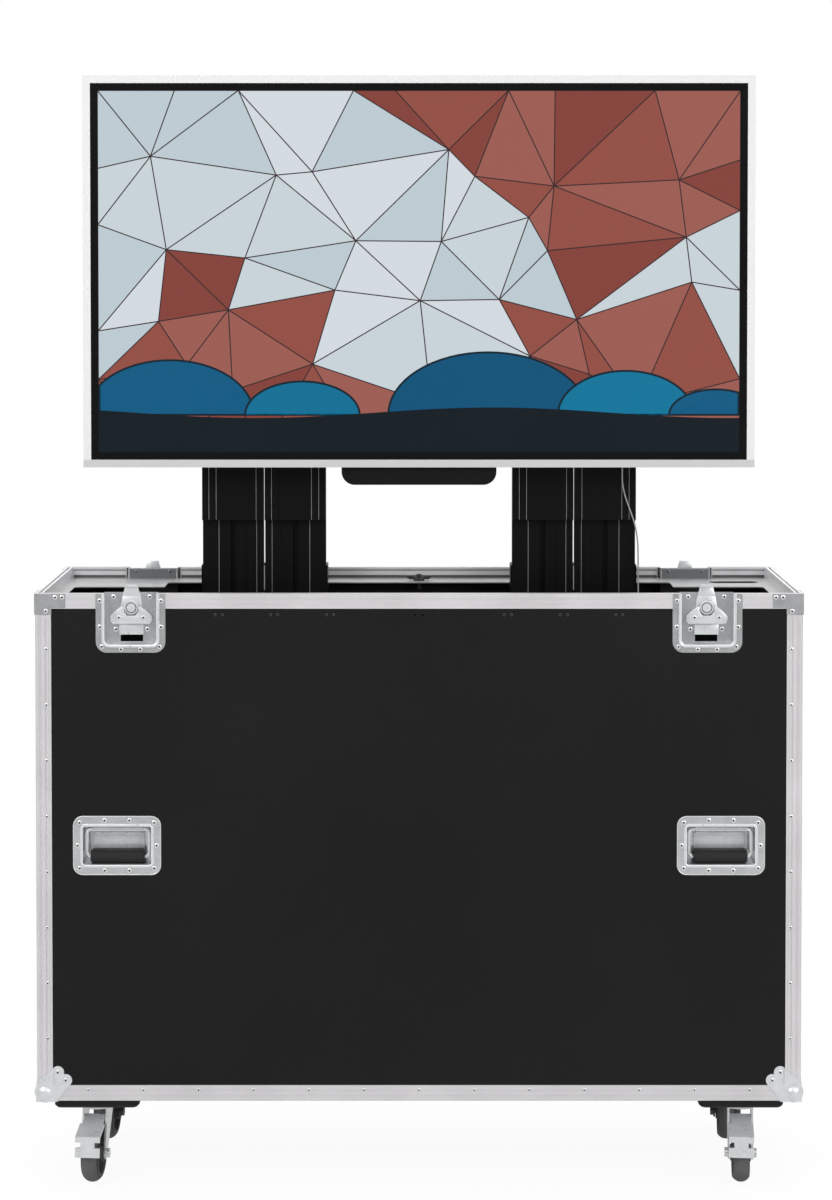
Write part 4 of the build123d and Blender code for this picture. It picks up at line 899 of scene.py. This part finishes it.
# Lift drive: a gear motor on each mast turns a four-start screw, and a bronze nut on it
# raises the middle stage. Painted steel brackets hold the masts to the case.
steel = Finish("black_steel", (0.014, 0.014, 0.015), Roughness=0.45, Specular_IOR_Level=0.3)
steel.set("Roughness", 0.4 + steel.noise(50.0) * 0.15)
steel.on("mast_brackets", "gear_motors", "screw_bearings", "cross_bars", "display_hooks")
ground = Finish("ground_steel", (0.55, 0.56, 0.58), Metallic=1.0, Roughness=0.25)
ground.set("Roughness", 0.2 + ground.noise(120.0) * 0.15)
bronze = Finish("bronze", (0.6, 0.4, 0.2), Metallic=1.0, Roughness=0.35)
bronze.set("Roughness", 0.3 + bronze.noise(90.0) * 0.15)
bronze.on("lift_nuts")
screw_lead = 0.02
thread_root = 0.0068
for side, x in (("left", -mast_x), ("right", mast_x)):
    low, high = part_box(f"drive_screw_{side}")
    radius = (high[0] - low[0]) / 2
    axis_y = (low[1] + high[1]) / 2
    turns = int((high[2] - low[2] - 0.06) / screw_lead)
    thread_top = high[2] - 0.018
    profile_line = start("plane", size=0.01, location=(0, 0, 0))
    bpy.ops.object.mode_set(mode="EDIT")
    bpy.ops.mesh.select_all(action="SELECT")
    bpy.ops.mesh.delete(type="VERT")
    leave()
    teeth = []
    for tooth in range(4):
        base = -screw_lead + tooth * screw_lead / 4
        teeth += [
            (thread_root, 0, base), (thread_root, 0, base + 0.0012), (radius, 0, base + 0.0019),
            (radius, 0, base + 0.0031), (thread_root, 0, base + 0.0038)]
    teeth.append((thread_root, 0, 0))
    profile_line.data.from_pydata(teeth, [(n, n + 1) for n in range(len(teeth) - 1)], [])
    profile_line.location = (x, axis_y, thread_top)
    alone(profile_line)
    wind = profile_line.modifiers.new("turns", "SCREW")
    wind.screw_offset = -screw_lead
    wind.iterations = turns
    wind.steps = 18
    wind.render_steps = 18
    wind.use_merge_vertices = True
    wind.merge_threshold = 0.00001
    bpy.ops.object.modifier_apply(modifier=wind.name)
    bpy.ops.object.transform_apply(location=True, rotation=True, scale=True)
    thread_low = thread_top - (turns + 1) * screw_lead
    ends = []
    for z0, z1 in ((low[2], thread_low + 0.001), (thread_top - 0.001, high[2])):
        journal = start(
            "cylinder", vertices=28, radius=radius, depth=z1 - z0, location=(x, axis_y, (z0 + z1) / 2))
        bpy.ops.object.transform_apply(location=True, rotation=True, scale=True)
        ends.append(soften(journal, 0.0008, 2))
    screw = joined([profile_line, *ends])
    bpy.ops.object.mode_set(mode="EDIT")
    bpy.ops.mesh.select_all(action="SELECT")
    bpy.ops.mesh.normals_make_consistent(inside=False)
    leave()
    bpy.ops.object.shade_smooth_by_angle(angle=math.radians(35))
    fit(screw, f"lead_screw_{side}", f"screw_{side}", ground)
    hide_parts(f"drive_screw_{side}")

# Motor fins and the bolts of the foot plates, all steel: the fins painted black, the bolts zinc plated.
motor_low, motor_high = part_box("gear_motors")
fin = start("torus", major_radius=0.0235, minor_radius=0.0011, major_segments=36, minor_segments=6,
            rotation=(math.pi / 2, 0, 0))
bpy.ops.object.transform_apply(location=False, rotation=True, scale=False)
bpy.ops.object.shade_smooth()
fin_pitch = 0.0048
fin_last = motor_high[1] - 0.010
fin_z = motor_low[2] + 0.024
fins = [(x, fin_last - step * fin_pitch, fin_z, 0) for x in (-mast_x, mast_x) for step in range(7)]
repeat(fin, fins, "motor_fins", "case", steel)
foot_bolt = hex_bolt(0.008, 0.0035)
foot_bolt.data.transform(Matrix.Rotation(math.radians(-90), 4, "X"))
foot_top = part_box("mast_brackets")[0][2] + 0.008
places = [(x + across, 0.142, foot_top, 0) for x in (-mast_x, mast_x) for across in (-0.092, 0.092)]
repeat(foot_bolt, places, "foot_bolts", "case", zinc)

# Display: a white powder-coated frame, a glossy black border round the screen, and a black
# textured rear cover with louvres, screws and a socket tray below it.
coat_white = (0.66, 0.66, 0.66)
lower_bar_face = 1.3317
coat = Finish("white_coat", coat_white, Roughness=0.4, Specular_IOR_Level=0.3)
peel = coat.noise(220.0, 2.0)
coat.set("Roughness", 0.36 + peel * 0.1)
x, y, z = coat.parts()
# Below the lower bar's top face the frame is painted a darker grey: painted shade on the bottom bar.
coat.set("Base Color", coat.between(coat_white, (0.5, 0.5, 0.5), z < lower_bar_face))
coat.bump(peel, 0.08, 0.0004)
coat.on("display_frame")
border = Finish("black_border", (0.004, 0.004, 0.0045), Roughness=0.2, Specular_IOR_Level=0.2)
border.set("Roughness", 0.16 + border.noise(14.0) * 0.08)
border.on("display_bezel")
shell = Finish("black_plastic", (0.0045, 0.0045, 0.005), Roughness=0.5, Specular_IOR_Level=0.15)
moulded = shell.noise(500.0, 2.0)
shell.set("Roughness", 0.45 + moulded * 0.15)
shell.bump(moulded, 0.3, 0.0005)
shell.on("display_back_cover", "connector_tray", "control_box")
glass = Finish("screen_glass", (0.01, 0.012, 0.014), Roughness=0.2, Specular_IOR_Level=0.3)
glass.set("Roughness", 0.16 + glass.noise(12.0) * 0.06)
glass.on("display_screen")


def written(red, green, blue):
    """A colour written as screen levels, as the linear shares that a shader takes."""
    return tuple((level / 255) ** 2.2 for level in (red, green, blue))


def tint(piece, colour_of):
    """Gives each face its own colour in the picture's colour attribute."""
    layer = piece.data.color_attributes.new("tint", "FLOAT_COLOR", "CORNER")
    for face in piece.data.polygons:
        colour = (*colour_of(face), 1)
        for corner in face.loop_indices:
            layer.data[corner].color = colour


def flat(piece, y):
    """Stands a piece made in X and Z upright at one depth."""
    piece.data.transform(Matrix.Translation((0, y, 0)))
    return piece


# Picture on the screen: a plain pattern of clay and pale facets between thin dark lines, over
# dark ground with low round hills. It is the pattern's own layout, drawn with light.
random.seed(11)
screen_low, screen_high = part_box("display_screen")
bezel_face = 0.0137
picture_x = screen_high[0] - bezel_face
picture_low = screen_low[2] + bezel_face
picture_high = screen_high[2] - bezel_face
picture_y = screen_low[1] - 0.0001
facets = start("grid", x_subdivisions=8, y_subdivisions=5, size=1, rotation=(math.pi / 2, 0, 0))
facets.scale = (2 * picture_x, picture_high - picture_low, 1)
facets.location = (0, 0, (picture_low + picture_high) / 2)
bpy.ops.object.transform_apply(location=True, rotation=True, scale=True)
cell_x = 2 * picture_x / 8
cell_z = (picture_high - picture_low) / 5
near = 0.001
for vertex in facets.data.vertices:
    if abs(vertex.co.x) < picture_x - near:
        vertex.co.x += random.uniform(-0.4, 0.4) * cell_x
    if picture_low + near < vertex.co.z < picture_high - near:
        vertex.co.z += random.uniform(-0.36, 0.36) * cell_z
choose(facets, lambda centre, normal: True)
bpy.ops.mesh.quads_convert_to_tris(quad_method="SHORTEST_DIAGONAL")
bpy.ops.mesh.inset(thickness=0.0011, use_individual=True)
shape = bmesh.from_edit_mesh(facets.data)
inner = {face.index for face in shape.faces if face.select}
leave()
clay = (written(148, 80, 70), written(134, 68, 60), written(158, 94, 84))
pale = (written(203, 214, 220), written(191, 205, 213), written(214, 221, 228))
line_shade = written(58, 44, 46)
hill_edge = written(14, 40, 52)


def is_clay(x, share):
    """Whether the pattern is clay at a place along the screen and a share of its height."""
    hanging = share > 0.80 + 0.26 * math.sin(4.4 * x + 2.9)
    standing = share < 0.30 + 0.22 * math.sin(9.0 * x - 1.4)
    return hanging or standing


def facet_colour(face):
    if face.index not in inner:
        return line_shade
    share = (face.center.z - picture_low) / (picture_high - picture_low)
    choices = clay if is_clay(face.center.x, share) else pale
    return random.choice(choices)


tint(facets, facet_colour)
flat(facets, picture_y)
ground_high = picture_low + 0.075
land = []
for place_x, width, height, colour in (
    (-0.47, 0.16, 0.105, written(0, 92, 132)), (-0.22, 0.11, 0.065, written(8, 112, 150)),
    (0.13, 0.19, 0.12, written(0, 84, 122)), (0.39, 0.13, 0.085, written(10, 118, 156)),
    (0.56, 0.09, 0.05, written(0, 92, 132)),
):
    hill = start("circle", vertices=64, radius=1, fill_type="NGON", rotation=(math.pi / 2, 0, 0))
    hill.scale = (width, height, 1)
    hill.location = (place_x, 0, ground_high - 0.004)
    bpy.ops.object.transform_apply(location=True, rotation=True, scale=True)
    choose(hill, lambda centre, normal: True)
    for cut, level, away in (
        ((0, 0, 1), (0, 0, ground_high - 0.006), False), ((1, 0, 0), (picture_x, 0, 0), True),
        ((1, 0, 0), (-picture_x, 0, 0), False),
    ):
        bpy.ops.mesh.select_all(action="SELECT")
        bpy.ops.mesh.bisect(plane_co=level, plane_no=cut, clear_inner=not away, clear_outer=away)
    bpy.ops.mesh.select_all(action="SELECT")
    bpy.ops.mesh.inset(thickness=0.004, use_individual=True)
    shape = bmesh.from_edit_mesh(hill.data)
    inner_hill = {face.index for face in shape.faces if face.select}
    leave()
    tint(hill, lambda face, kept=inner_hill, shade=colour: shade if face.index in kept else hill_edge)
    land.append(flat(hill, picture_y - 0.00008 * (len(land) + 1)))
soil = start("plane", size=1, rotation=(math.pi / 2, 0, 0))
soil.scale = (2 * picture_x, ground_high - picture_low, 1)
soil.location = (0, 0, (ground_high + picture_low) / 2)
bpy.ops.object.transform_apply(location=True, rotation=True, scale=True)
choose(soil, lambda centre, normal: True)
bpy.ops.mesh.subdivide(number_cuts=24)
leave()
for vertex in soil.data.vertices:
    share = (vertex.co.z - picture_low) / (ground_high - picture_low)
    vertex.co.z += share * 0.010 * math.sin(7.0 * vertex.co.x + 0.6)
tint(soil, lambda face: written(14, 28, 36))
land.append(flat(soil, picture_y - 0.0006))
picture = Finish("picture_light", (0.004, 0.004, 0.004), Roughness=0.35, Specular_IOR_Level=0.15)
painted = picture.node("ShaderNodeAttribute", {"attribute_name": "tint"}, out="Color")
picture.set("Emission Color", painted)
picture.set("Roughness", 0.3 + picture.noise(9.0) * 0.1)
picture.shader.inputs["Emission Strength"].default_value = 0.95
fit(joined([facets, *land]), "screen_picture", "carriage", picture)

# Rear of the display: louvres over the electronics, cover screws and the hooks' bolts.
cover_low, cover_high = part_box("display_back_cover")
back_y = cover_high[1]
louvre = block(-0.0022, 0.0022, -0.0012, 0.0004, -0.030, 0.030)
choose(louvre, lambda centre, normal: normal.y < -0.9)
bpy.ops.transform.resize(value=(0.5, 1, 0.93))
leave()
soften(louvre, 0.0004, 2)
louvre_pitch = 0.0075
places = []
for centre in (-0.40, 0.0, 0.40):
    for row in (1.56, 1.82):
        places += [(centre + step * louvre_pitch, back_y, row, 180) for step in range(-10, 11)]
repeat(louvre, places, "cover_louvres", "carriage", shell)
cover_screw = hex_bolt(0.006, 0.0022)
screw_inset = 0.085
hook_face = back_y + 0.003
places = []
for x in (-0.55, -0.275, 0.0, 0.275, 0.55):
    for z in (cover_low[2] + screw_inset, cover_high[2] - screw_inset):
        places.append((x, back_y, z, 180))
for x in (-0.2, 0.2):
    places += [(x, hook_face, z, 180) for z in (1.47, 1.60, 1.78, 1.91)]
repeat(cover_screw, places, "cover_screws", "carriage", enamel)

# Socket tray: moulded sockets in the tray's rear edge under the display.
tray_low, tray_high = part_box("connector_tray")
socket_block = block(-0.0085, 0.0085, -0.0016, 0.0002, -0.0045, 0.0045)
soften(socket_block, 0.0012, 2)
choose(socket_block, lambda centre, normal: normal.y < -0.9)
bpy.ops.mesh.inset(thickness=0.0013, depth=0.0)
bpy.ops.mesh.inset(thickness=0.0002, depth=-0.0012)
leave()
socket_pitch = 0.032
places = [(step * socket_pitch, tray_high[1], tray_low[2] + 0.019, 180) for step in range(-3, 3)]
fit(copies(socket_block, places), "tray_sockets", "carriage", enamel)

# Control box: moulded cover with a rocker switch, sockets and four screws in its top.
box_x = 0.42
box_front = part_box("control_box")[0][1]
box_height = 0.058
ports_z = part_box("floor_panel")[1][2] + box_height - 0.030
ports = copies(socket_block, [(x, box_front, ports_z, 0) for x in (box_x - 0.03, box_x)])
rocker_half = 0.006
rocker = block(
    box_x + 0.030, box_x + 0.052, box_front - 0.003, box_front + 0.0002,
    ports_z - rocker_half, ports_z + rocker_half)
soften(rocker, 0.0015, 3)
fit(joined([ports, rocker]), "control_ports", "case", enamel)
bpy.data.objects.remove(socket_block)

for model in (small_rivet, plain_rivet, broad_rivet, plate_bolt):
    bpy.data.objects.remove(model)
